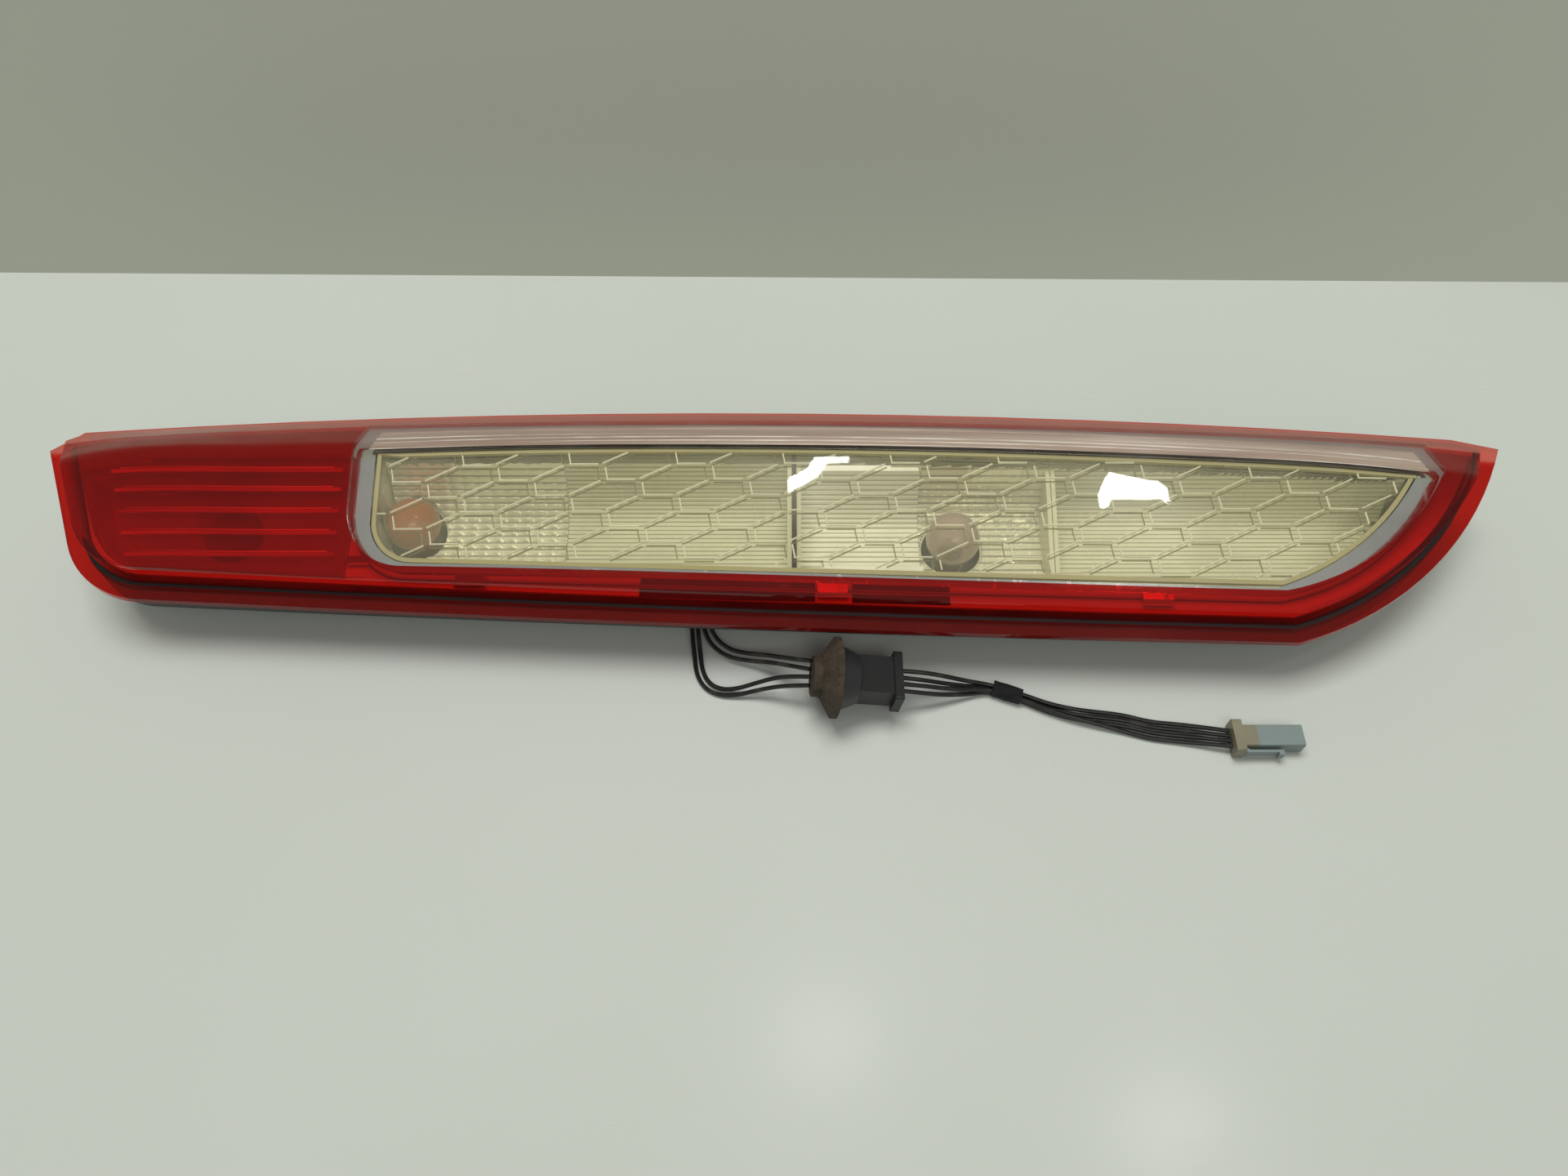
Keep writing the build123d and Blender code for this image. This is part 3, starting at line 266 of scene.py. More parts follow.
def slab(name, corners, finish):
    """A flat panel that isn't part of the lamp."""
    mesh = bpy.data.meshes.new(name)
    mesh.from_pydata(corners, [], [tuple(range(len(corners)))])
    mesh.materials.append(finish)
    panel = bpy.data.objects.new(name, mesh)
    bpy.context.scene.collection.objects.link(panel)
    panel.visible_shadow = name != "wall"
    return panel


def one_sided(finish, surface):
    """A surface that is clear from its rear."""
    rear = finish.node("ShaderNodeNewGeometry", output="Backfacing")
    return finish.done(finish.over(rear, surface, finish.node("ShaderNodeBsdfTransparent")))


laminate = Finish("white_laminate")
cloud = laminate.noise(3.2, 3)
smear = laminate.step(laminate.noise(26, 4, (0.35, 1, 1)), 0.5, 0.75)
slab(
    "table",
    [(-1.4, -1.6, 0), (1.4, -1.6, 0), (1.4, 1.6, 0), (-1.4, 1.6, 0)],
    one_sided(
        laminate,
        laminate.shell(
            laminate.mixed(cloud, TABLE_WHITE, TABLE_WORN), 0.2 + smear * 0.1, Specular_IOR_Level=0.3
        ),
    ),
)
paint = Finish("wall_paint")
slab(
    "wall",
    [(-2, WALL_FOOT + 0.018, -0.2), (2, WALL_FOOT - 0.017, -0.2), (2, WALL_FOOT, 1.4), (-2, WALL_FOOT, 1.4)],
    one_sided(paint, paint.shell(paint.mixed(paint.noise(1.5, 2), WALL_GREY, WALL_SHADE), 0.6)),
)

# ------------------------------------------------------------------------------------------------ light
# An even ceiling of light over the table with a weaker one on the near side, and two small bright panels that
# mirror in the lens.
world = bpy.data.worlds.new("room")
world.use_nodes = True
world.node_tree.nodes["Background"].inputs["Color"].default_value = (0.98, 1.0, 0.95, 1)
world.node_tree.nodes["Background"].inputs["Strength"].default_value = 0.32
bpy.context.scene.world = world


def lamp_panel(name, place, width, depth, radiance, target=(0, 0, 0)):
    """A rectangular light that faces target."""
    light = bpy.data.lights.new(name, "AREA")
    light.shape = "RECTANGLE"
    light.size = width
    light.size_y = depth
    light.energy = radiance * math.pi * width * depth
    panel = bpy.data.objects.new(name, light)
    panel.location = place
    panel.rotation_euler = (Vector(target) - Vector(place)).to_track_quat("-Z", "Y").to_euler()
    bpy.context.scene.collection.objects.link(panel)
    return panel


room_light = lamp_panel("room_light", (-0.2, 0.6, 2.3), 1.6, 0.8, 9.8)
room_light.visible_glossy = False
lamp_panel("front_light", (0.4, -1.6, 2.2), 1.6, 0.7, 3.2)
MIRRORED = 45  # radiance of the panels that mirror in the lens
lamp_panel("panel_middle", (0.10, 0.24, 2.4), 0.15, 0.055, MIRRORED, (0.10, 0.24, 0))
lamp_panel("panel_right", (0.88, 0.05, 2.4), 0.15, 0.07, MIRRORED, (0.88, 0.05, 0))

# ------------------------------------------------------------------------------------------------ housing
# Black moulded ABS tub that carries everything, with an opening in its back for the bulb carrier. The outer
# lens is welded to its rim; a thin black band along the lens's foot is painted shade in the crease there.
RIM_Z = 43.7  # on the lamp's middle line
RIM_TILT = math.radians(9)
FLANGE_TOP = 1.0  # above the rim
FLANGE_LEFT, FLANGE_RIGHT = -353, 353
FAR_TIP, NEAR_TIP, NEAR_LEFT = (331, 49.7), (239, -59.7), (-322, -37)
LEFT_CORNER = 44
OUTLINE_STEPS = 60
HOUSING_BLACK = (0.012, 0.012, 0.012, 1)


def dress(node, material):
    """Give a CAD node its finish."""
    for held in frame["nodes"][node].material_slots:
        held.material = material


def soften(node, width, segments=2):
    """Break the sharp moulded edges of a CAD node."""
    piece = frame["nodes"][node]
    weld = piece.modifiers.new("weld", "WELD")
    weld.merge_threshold = 0.00002
    bevel = piece.modifiers.new("edges", "BEVEL")
    bevel.width = width * MM
    bevel.segments = segments
    bevel.limit_method = "ANGLE"
    bevel.angle_limit = math.radians(40)


def moulded(name, colour, roughness, grain=900, depth=0.00005, dusty=0.5):
    """Moulded plastic with fine grain and a little dust."""
    made = Finish(name)
    dust = made.step(made.noise(45, 4), 0.5, 0.8)
    lighter = tuple(min(1, channel * 1.6 + 0.02) for channel in colour[:3]) + (1,)
    base = made.mixed(dust * dusty, colour, lighter)
    return made.done(
        made.shell(base, roughness + dust * 0.2, Normal=made.bump(made.noise(grain, 2), depth))
    )


def arc(first, middle, last, steps):
    """Points along the circle through three points, without the last one."""
    (ax, ay), (bx, by), (cx, cy) = first, middle, last
    d = 2 * (ax * (by - cy) + bx * (cy - ay) + cx * (ay - by))
    sa, sb, sc = ax * ax + ay * ay, bx * bx + by * by, cx * cx + cy * cy
    ux = (sa * (by - cy) + sb * (cy - ay) + sc * (ay - by)) / d
    uy = (sa * (cx - bx) + sb * (ax - cx) + sc * (bx - ax)) / d
    start, through, end = (math.atan2(y - uy, x - ux) for x, y in (first, middle, last))
    turn = (end - start) % (2 * math.pi)
    if (through - start) % (2 * math.pi) > turn:
        turn -= 2 * math.pi
    radius = math.hypot(ax - ux, ay - uy)
    return [
        (ux + radius * math.cos(start + turn * i / steps), uy + radius * math.sin(start + turn * i / steps))
        for i in range(steps)
    ]


def rounded(corner, before, after, radius, steps=12):
    """Points of an arc that rounds a corner."""
    c, b, a = Vector(corner), Vector(before), Vector(after)
    to_b, to_a = (b - c).normalized(), (a - c).normalized()
    half = to_b.angle(to_a) / 2
    centre = c + (to_a + to_b).normalized() * radius / math.sin(half)
    reach = radius / math.tan(half)
    first, last = c + to_b * reach, c + to_a * reach
    middle = centre + (c - centre).normalized() * radius
    return arc(tuple(first), tuple(middle), tuple(last), steps) + [tuple(last)]


def inset_pairs(ring, inset):
    """A closed ring moved inwards point by point."""
    pairs = []
    for i, here in enumerate(ring):
        along = (Vector(ring[(i + 1) % len(ring)]) - Vector(ring[i - 1])).normalized()
        pairs.append((here[0] + along.y * inset, here[1] - along.x * inset))
    return pairs


def drawn_in(ring, inset):
    """A closed ring of plan points moved inwards, without those that would cross a sharp corner."""
    moved = []
    for there in inset_pairs(ring, inset):
        if all(math.dist(there, other) > inset * 0.93 for other in ring):
            moved.append(there)
    return moved


def off_edge(ring, spot):
    """Distance of a spot from the nearest side of a ring."""
    spot = Vector(spot)
    nearest = []
    for start, end in zip(ring, ring[1:] + ring[:1]):
        start, side = Vector(start), Vector(end) - Vector(start)
        share = max(0, min(1, (spot - start).dot(side) / max(side.dot(side), 0.0001)))
        nearest.append((start + side * share - spot).length)
    return min(nearest)


def lamp_outline():
    """The lens flange in plan, clockwise seen from above, its far side 5 mm wider as for the dome."""
    left_end = (FLANGE_LEFT, 43.5)
    far = arc((-338, 53.7), (-29.4, 64.7), FAR_TIP, OUTLINE_STEPS)
    tip = arc((FLANGE_RIGHT, 44.5), (310, -21), NEAR_TIP, OUTLINE_STEPS)
    near = arc(NEAR_TIP, (0, -52), NEAR_LEFT, OUTLINE_STEPS)
    corner = rounded(NEAR_LEFT, near[-1], left_end, LEFT_CORNER)
    near = [p for p in near if p[0] > corner[0][0] + 1]
    return far + [FAR_TIP] + tip + near + corner + [left_end]


def rim_z(y):
    return RIM_Z + y * math.tan(RIM_TILT)


def ring_solid(name, outer, inner, top, bottom, finish):
    """A closed band between two rings of plan points, between two heights given as functions of x and y."""
    count = len(outer)
    verts = []
    for ring, height in ((outer, top), (inner, top), (inner, bottom), (outer, bottom)):
        verts += [(x * MM, y * MM, height(x, y) * MM) for x, y in ring]
    faces = []
    for level in range(4):
        for i in range(count):
            j, up = (i + 1) % count, (level + 1) % 4
            faces.append((level * count + i, level * count + j, up * count + j, up * count + i))
    return solid(name, verts, faces, finish)


def solid(name, verts, faces, finish, body="lamp", crease=35):
    """A mesh piece that rides on a body, its faces turned outwards and smooth up to a crease angle."""
    shape = bmesh.new()
    made = [shape.verts.new(v) for v in verts]
    for face in faces:
        if len(set(face)) > 2 and not shape.faces.get([made[i] for i in face]):
            shape.faces.new([made[i] for i in face])
    bmesh.ops.recalc_face_normals(shape, faces=shape.faces)
    for edge in shape.edges:
        edge.smooth = len(edge.link_faces) == 2 and edge.calc_face_angle(0) < math.radians(crease)
    for face in shape.faces:
        face.smooth = True
    mesh = bpy.data.meshes.new(name)
    shape.to_mesh(mesh)
    shape.free()
    mesh.materials.append(finish)
    piece = bpy.data.objects.new(name, mesh)
    bpy.context.scene.collection.objects.link(piece)
    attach(piece, body)
    return piece


def recast(node, finish, edge=0.0, crease=32):
    """A CAD node again as a clean moulding: seams welded, curved faces smooth, sharp edges broken by edge."""
    shape = bmesh.new()
    shape.from_mesh(frame["nodes"][node].data)
    bmesh.ops.remove_doubles(shape, verts=shape.verts, dist=0.00002)
    verts = [v.co.copy() for v in shape.verts]
    faces = [[v.index for v in f.verts] for f in shape.faces]
    shape.free()
    piece = solid(node + "_moulding", verts, faces, finish, frame["nodes"][node]["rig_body"], crease)
    if edge:
        bevel = piece.modifiers.new("edges", "BEVEL")
        bevel.width = edge * MM
        bevel.segments = 3
        bevel.limit_method = "ANGLE"
        bevel.angle_limit = math.radians(crease + 5)
        bevel.harden_normals = True
    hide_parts(node)
    return piece


def see_through(*pieces):
    """Let light pass thin clear mouldings unshaded, so that what lies under them is lit."""
    for piece in pieces:
        piece.visible_shadow = False


ABS = moulded("housing_abs", HOUSING_BLACK, 0.42)
recast("housing", ABS, 0.4)
OUTLINE = lamp_outline()
FOOT_INSET = 6.6  # of the lens's foot from the flange's edge
FOOT_SHADE_WIDTH = 2.0
FOOT = [spot for spot in drawn_in(OUTLINE, FOOT_INSET) if off_edge(OUTLINE, spot) > FOOT_INSET - 0.6]
# A thin black band in the crease at the lens's foot: painted shade.
ring_solid(
    "foot_crease_shade",
    FOOT,
    inset_pairs(FOOT, FOOT_SHADE_WIDTH),
    lambda x, y: rim_z(y) + FLANGE_TOP + 0.12,
    lambda x, y: rim_z(y) + 0.2,
    moulded("foot_crease_shade", (0.004, 0.003, 0.003, 1), 0.4, dusty=0),
)


def surface_of(node, downwards=True):
    """A function of x and y in millimetres: the height of a CAD node's upper or lower surface, or None."""
    mesh = frame["nodes"][node].data
    mesh.calc_loop_triangles()
    tree = BVHTree.FromPolygons(
        [v.co for v in mesh.vertices], [tuple(t.vertices) for t in mesh.loop_triangles], epsilon=0
    )
    start, way = (0.2, -1) if downwards else (-0.1, 1)

    def height(x, y):
        hit = tree.ray_cast(Vector((x * MM, y * MM, start)), Vector((0, 0, way)))[0]
        return None if hit is None else hit.z / MM

    return height


# ------------------------------------------------------------------------------------------------ outer lens
# One acrylic moulding in two shots: transparent red all round and clear over the window. Polished outside,
# scuffed by years of use along the near flange.
RED_TINT = (0.80, 0.10, 0.075, 1)
RED_FILM = (0.42, 0.010, 0.006, 1)
RED_DUST_AND_REFLECTION = (0.62, 0.2, 0.15, 1)
CLEAR_TINT = (0.97, 0.965, 0.95, 1)
CLEAR_FILM = (0.6, 0.58, 0.5, 1)
CLEAR_DUST = (0.6, 0.5, 0.44, 1)
WHITE = (1, 1, 1, 1)


def from_far_edge(finish):
    """Distance in metres from the lamp's bowed far edge, near enough a parabola."""
    bow = finish.along(0) + 0.0294
    return 0.0647 - finish.along(1) - bow * bow * 0.1162


def acrylic(name, tint, film_colour, veil, scuffs, wrap=0.0, wrap_veil=0.0, wrap_dust_and_reflection=RED_DUST_AND_REFLECTION):
    """Polished transparent acrylic: a tinted clear body, a faint veil of dust, a glossy skin. Dust lies
    thicker on the wrap, the first few millimetres from the lamp's far edge; on the red lens that pale veil is
    also a painted reflection of the wall."""
    lens = Finish(name)
    body = lens.node("ShaderNodeBsdfTransparent", {"Color": tint})
    haze = lens.step(lens.noise(38, 5), 0.35, 0.9)
    patchy = lens.step(lens.noise(30, 2), 0.55, 0.7)
    scratch = lens.step(lens.noise(220, 2, (0.12, 1, 1)), 0.66, 0.74) * patchy
    far = 1 - lens.step(from_far_edge(lens), wrap - 0.002, wrap + 0.001)
    film = lens.shell(lens.mixed(far, film_colour, wrap_dust_and_reflection), 0.45)
    dusty = lens.over(veil + haze * 0.03 + scratch * scuffs + far * wrap_veil, body, film)
    roughness = 0.015 + haze * 0.02 + scratch * 0.2 + far * 0.3
    gloss = lens.node("ShaderNodeBsdfGlossy", {"Color": WHITE, "Roughness": roughness})
    return lens.done(lens.over(lens.skin(0.018), dusty, gloss))


# The red wrap's pale veil is dust and a painted reflection of the wall.
RED_ACRYLIC = acrylic("red_acrylic", RED_TINT, RED_FILM, 0.10, 0.2, 0.0165, 0.36)
CLEAR_ACRYLIC = acrylic("clear_acrylic", CLEAR_TINT, CLEAR_FILM, 0.0, 0.12, 0.034, 0.05, CLEAR_DUST)
see_through(
    recast("outer_lens_red", RED_ACRYLIC, 0.5),
    recast("outer_lens_clear", CLEAR_ACRYLIC),
)


def far_edge(ring, x):
    """The furthest y of a closed ring at a station along the lamp."""
    crossings = []
    for (x0, y0), (x1, y1) in zip(ring, ring[1:] + ring[:1]):
        if (x0 > x) != (x1 > x):
            crossings.append(y0 + (y1 - y0) * (x - x0) / (x1 - x0))
    return max(crossings) if crossings else None


# The inner lens in plan, whose edge the prisms follow.
WINDOW_LEFT, WINDOW_RIGHT = -187, 302
WINDOW_FAR, WINDOW_TIP, WINDOW_NEAR = (WINDOW_LEFT, 26), (WINDOW_RIGHT, 16.5), (230, -37)
WINDOW_CORNER = (WINDOW_LEFT, -25)
WINDOW_SLOPE = (WINDOW_NEAR[1] - WINDOW_CORNER[1]) / (WINDOW_NEAR[0] - WINDOW_LEFT)
WINDOW = (
    arc(WINDOW_FAR, (60, 26.5), WINDOW_TIP, 40)
    + arc(WINDOW_TIP, (270, -17.5), WINDOW_NEAR, 30)
    + rounded(WINDOW_CORNER, WINDOW_NEAR, WINDOW_FAR, 20)
)
PRISM_ROWS = 14
PRISM_RISE = 1.3
PRISM_STATIONS = 90
PRISM_EDGE = 17.5  # of the outermost prism from the flange's far edge
CLEAR_UNDER = surface_of("outer_lens_clear", False)
RED_UNDER = surface_of("outer_lens_red", False)


def wrap_prisms(left, right, finish):
    """Long prisms moulded inside the wrap, seen as fine lines beside the window."""
    verts, faces = [], []
    for i in range(PRISM_STATIONS + 1):
        x = left + (right - left) * i / PRISM_STATIONS
        outer = far_edge(OUTLINE, x) - PRISM_EDGE
        inner = far_edge(WINDOW, max(WINDOW_LEFT + 0.1, min(WINDOW_RIGHT - 0.1, x))) + 0.2
        for j in range(PRISM_ROWS + 1):
            y = outer + (inner - outer) * j / PRISM_ROWS
            roof = min(z for z in (CLEAR_UNDER(x, y), RED_UNDER(x, y), 90) if z is not None and z > 45)
            verts.append((x * MM, y * MM, (roof - 0.5 - PRISM_RISE * (j % 2)) * MM))
    for i in range(PRISM_STATIONS):
        for j in range(PRISM_ROWS):
            a = i * (PRISM_ROWS + 1) + j
            faces.append((a, a + PRISM_ROWS + 1, a + PRISM_ROWS + 2, a + 1))
    piece = solid("wrap_prisms", verts, faces, finish, crease=20)
    thick = piece.modifiers.new("sheet", "SOLIDIFY")
    thick.thickness = 0.4 * MM
    thick.offset = 0
    return piece


prism = Finish("prism_acrylic")
bands = prism.step(prism.noise(90, 3, (0.04, 1, 1)), 0.4, 0.65)
PRISM_PITCH = 0.0034
# Painted highlights: bright glint lines along the prisms at their pitch, broken here and there, laid into the
# colour.
wave = prism.node("ShaderNodeMath", {0: from_far_edge(prism) * (math.pi / PRISM_PITCH)}, operation="SINE")
broken = prism.step(prism.noise(300, 2, (0.1, 1, 1)), 0.35, 0.6)
glint = prism.step(wave * wave, 0.86, 0.97) * (0.35 + broken * 0.65)
tone = prism.mixed(bands, (0.44, 0.335, 0.27, 1), (0.29, 0.20, 0.16, 1))
lined = prism.mixed(glint, tone, (0.8, 0.75, 0.68, 1))
wrap_prisms(-190, 308, prism.done(prism.shell(lined, 0.2)))

# ------------------------------------------------------------------------------------------------ chrome bezel
# Surround of the inner lens, moulded in ABS and vacuum-metallised, lightly scratched and tarnished. It is
# held by snap tongues over the trim ledge.
chrome = Finish("bezel_chrome")
rub = chrome.step(chrome.noise(180, 2, (1, 0.15, 1)), 0.6, 0.72)
tarnish = chrome.step(chrome.noise(24, 4), 0.45, 0.85)
recast(
    "chrome_bezel",
    chrome.done(
        chrome.shell(
            chrome.mixed(tarnish, (0.86, 0.87, 0.87, 1), (0.66, 0.66, 0.63, 1)),
            0.14 + tarnish * 0.08 + rub * 0.2,
            Metallic=1.0,
        )
    ),
    0.5,
)

# ------------------------------------------------------------------------------------------------ trim ledge
# Grey-white plastic shelf between bezel and lens foot, clipped to the housing and seen as a saturated red
# strip through the lens.
ledge = Finish("ledge_plastic")
# Painted shade: the ledge is painted dark on its far part.
far_painted_shade = ledge.step(ledge.along(1), -0.02, 0.025)
ledge_colour = ledge.mixed(far_painted_shade, (0.60, 0.55, 0.5, 1), (0.2, 0.17, 0.15, 1))
recast(
    "trim_ledge",
    ledge.done(ledge.shell(ledge_colour, 0.35, Normal=ledge.bump(ledge.noise(900, 2), 0.00005))),
    0.3,
)

# The ledge's two drain slots, cut along its near side, seen as a dark bar with the middle snap between them.
# The bar is painted shade: a thin black plate lies on the ledge over each slot.
SLOTS = ((-62.0, 19.0), (36.0, 81.0))
SLOT_EDGES = (-5.6, -10.2)  # from the near edge of the inner lens
SLOT_STEPS = 8
LEDGE_RISE = 3.0  # ledge top above the rim plane
painted_slot_shade = moulded("painted_slot_shade", (0.01, 0.006, 0.006, 1), 0.6, dusty=0)
for i, (left, right) in enumerate(SLOTS):
    verts, faces = [], []
    for k in range(SLOT_STEPS + 1):
        x = left + (right - left) * k / SLOT_STEPS
        near_edge = WINDOW_CORNER[1] + (x - WINDOW_LEFT) * WINDOW_SLOPE
        for edge in SLOT_EDGES:
            y = near_edge + edge
            verts += [(x * MM, y * MM, (rim_z(y) + LEDGE_RISE + rise) * MM) for rise in (0.15, 0.05)]
        if k:
            b = 4 * k
            faces += [(b - 4, b, b + 2, b - 2), (b - 3, b - 1, b + 3, b + 1), (b - 4, b - 3, b + 1, b),
                      (b - 2, b + 2, b + 3, b - 1)]
    faces += [(0, 2, 3, 1), tuple(4 * SLOT_STEPS + k for k in (0, 1, 3, 2))]
    solid(f"slot_shade_plate_{i + 1}", verts, faces, painted_slot_shade)

# ------------------------------------------------------------------------------------------------ inner lens
# Polycarbonate cover over the bulbs, yellowed by their heat, with a raised pattern of stretched hexagons:
# fine ridges along the level and the slanting sides and small flat tabs across.
LEVEL = Vector((16.0, 0.0))
SLANT = Vector((16.7, 7.4))
CROSS = Vector((1.5, -7.2))
RIDGE = (0.75, 0.2, 0.55)  # width at the foot, width at the top, height
BAND = 0.85  # half the width between the two edges of a ridge
TAB = 1.9  # and of a tab
PATTERN_EDGE = 2.5


def inside(ring, x, y):
    """Whether a plan point lies inside a ring."""
    odd = False
    for (x0, y0), (x1, y1) in zip(ring, ring[1:] + ring[:1]):
        if (y0 > y) != (y1 > y) and x < (x1 - x0) * (y - y0) / (y1 - y0) + x0:
            odd = not odd
    return odd


def ridge_points(start, end, section, height, verts, faces, steps=4):
    """A ridge of trapezoid section along a line, lying on a surface."""
    foot, top, rise = section
    way = (end - start).normalized()
    aside = Vector((-way.y, way.x))
    base = len(verts)
    for i in range(steps + 1):
        spot = start.lerp(end, i / steps)
        for offset, lift in ((-foot / 2, -0.2), (-top / 2, rise), (top / 2, rise), (foot / 2, -0.2)):
            place = spot + aside * offset
            ground = height(spot.x, spot.y)
            verts.append((place.x * MM, place.y * MM, (ground + lift) * MM))
    for i in range(steps):
        for side in range(4):
            a, b = base + 4 * i + side, base + 4 * i + (side + 1) % 4
            faces.append((a, b, b + 4, a + 4))
    faces.append(tuple(base + k for k in (3, 2, 1, 0)))
    faces.append(tuple(base + 4 * steps + k for k in (0, 1, 2, 3)))


def pattern(name, height, ring, finish, side):
    """One edge of every ridge and tab of the raised hexagon pattern, clipped to a ring: the far edges for a
    side of 1, the near edges for -1."""
    verts, faces = [], []
    origin = Vector((-192, -40))  # a corner of the pattern
    across, along = SLANT + LEVEL, CROSS + LEVEL
    for i in range(-20, 30):
        for j in range(-30, 30):
            node = origin + across * i + along * j
            if not -240 < node.x < 340 or not -60 < node.y < 60:
                continue
            for way, band, cut in ((-LEVEL, BAND, 1.2), (SLANT, BAND, 1.2), (CROSS, TAB, 0.9)):
                unit = way.normalized()
                aside = Vector((-unit.y, unit.x)) * band * side
                if band == BAND and aside.y * side < 0:
                    aside = -aside
                start, end = node + unit * cut + aside, node + way - unit * cut + aside
                trial = [start.lerp(end, t / 10) for t in range(11)]
                kept = [spot for spot in trial if inside(ring, *spot) and height(*spot) is not None]
                if len(kept) > 3:
                    ridge_points(kept[0], kept[-1], RIDGE, height, verts, faces)
    return solid(name, verts, faces, finish, crease=20)


def aged(name, veil, tint, tone):
    """Yellowed polycarbonate, milky where heat and dust have dulled it."""
    lens = Finish(name)
    cloud = lens.noise(14, 4)
    streak = lens.noise(55, 3, (0.1, 1, 1))
    body = lens.node("ShaderNodeBsdfTransparent", {"Color": tint})
    deeper = tuple(channel * 0.86 for channel in tone[:3]) + (1,)
    milk = lens.shell(lens.mixed(lens.step(cloud, 0.3, 0.75), tone, deeper), 0.4)
    dull = lens.over(veil + (cloud - 0.5) * 0.25 + (streak - 0.5) * 0.2, body, milk)
    gloss = lens.node("ShaderNodeBsdfGlossy", {"Color": WHITE, "Roughness": 0.2})
    return lens.done(lens.over(lens.skin(0.015), dull, gloss))


POLYCARBONATE = aged("aged_polycarbonate", 0.07, (0.97, 0.96, 0.87, 1), (0.72, 0.70, 0.48, 1))
see_through(recast("pattern_lens", POLYCARBONATE, 0.8))
LENS_TOP = surface_of("pattern_lens")
PATTERN_RING = drawn_in(WINDOW, PATTERN_EDGE)
RIDGE_TINT = (0.9, 0.88, 0.74, 1)
for name, side, veil, tone in (
    ("lit", 1, 0.8, (0.95, 0.93, 0.70, 1)),
    ("shaded", -1, 0.36, (0.36, 0.35, 0.24, 1)),
):
    finish = aged(f"ridge_{name}", veil, RIDGE_TINT, tone)
    see_through(pattern(f"pattern_{name}", LENS_TOP, PATTERN_RING, finish, side))


def skirt_height(x, y, drop):
    """Height a given drop under the inner lens's skin, or at its edge beside the point."""
    top = LENS_TOP(x, y)
    for pull in (0.985, 0.97, 0.94):
        top = LENS_TOP(x * pull, y * pull) if top is None else top
    return top - drop


ring_solid(
    "skirt_edge",
    inset_pairs(WINDOW, 0.35),
    inset_pairs(WINDOW, 2.3),
    lambda x, y: skirt_height(x, y, -0.1),
    lambda x, y: skirt_height(x, y, 1.6),
    aged("skirt_polycarbonate", 0.85, (0.8, 0.72, 0.4, 1), (0.50, 0.45, 0.23, 1)),
)

# ------------------------------------------------------------------------------------------------ red optic
# Ribbed red acrylic plate over the stop and tail bulb, set in the housing under the outer lens. Its raised
# ribs gather the light.
OPTIC_RED = acrylic("optic_red", (0.85, 0.2, 0.15, 1), (0.24, 0.010, 0.006, 1), 0.3, 0.0)
see_through(recast("stop_rib_lens", OPTIC_RED, 0.4))
BAR_ROWS = (24.5, 18.0, 9.0, -1.0, -11.0, -21.0)
BAR_ENDS = (-314.5, -202.5)
BAR_STEP = 3.0
OPTIC_TOP = surface_of("stop_rib_lens")


def lit_bars(name, offset, section, finish):
    """Raised ribs of the optic, of a given section."""
    verts, faces = [], []
    for i, y in enumerate(BAR_ROWS):
        start = Vector((BAR_ENDS[0] + i * BAR_STEP, y + offset))
        end = Vector((BAR_ENDS[1], y + offset))
        if OPTIC_TOP(*start) is not None and OPTIC_TOP(*end) is not None:
            ridge_points(start, end, section, OPTIC_TOP, verts, faces, 24)
    return solid(name, verts, faces, finish)


# The ribs are painted brighter red than the plate between them: painted light that the ribs gather, uneven
# along them.
bar_red = Finish("bar_red")
uneven = bar_red.step(bar_red.noise(60, 3, (0.25, 1, 1)), 0.3, 0.7)
bar_colour = bar_red.mixed(uneven, (0.34, 0.06, 0.04, 1), (0.62, 0.1, 0.06, 1))
lit_bars("rib_bars", 0, (2.6, 1.8, 0.12), bar_red.done(bar_red.shell(bar_colour, 0.3)))
# Painted highlights on the ribs' far edges: near white towards the window and, broken, at the ribs' left tips.
glint_red = Finish("glint_red")
toward_window = glint_red.step(glint_red.along(0), -0.30, -0.215)
tip = 1 - glint_red.step(glint_red.along(0), -0.312, -0.300)
broken = glint_red.step(glint_red.noise(240, 2, (0.3, 1, 1)), 0.42, 0.55)
brightness = toward_window * 0.75 + tip * broken * 0.9 + 0.12
glint_colour = glint_red.mixed(brightness, (0.4, 0.05, 0.03, 1), (1.0, 0.95, 0.9, 1))
lit_bars("rib_glints", 1.0, (0.9, 0.5, 0.3), glint_red.done(glint_red.shell(glint_colour, 0.2)))

# ------------------------------------------------------------------------------------------------ reflectors
# Metallised plastic troughs under the lenses. The turn lamp's end is faceted, the reversing lamp's has
# strong louvres beside a hammered field, and the rest is finely fluted.
TROUGH = (-9.0, 87.0, 58.0)  # y and z of the trough's axis, its radius
SIGHT = (0.82, 0.57)  # the optics' rows are even along this mix of y and z
BOWL_Y = 4.0  # beyond this the reflector's floor curves up to the lens
BOWL_TOP = 59.0
OPTIC_EDGE = 2.6  # of the optics from the inner lens's edge


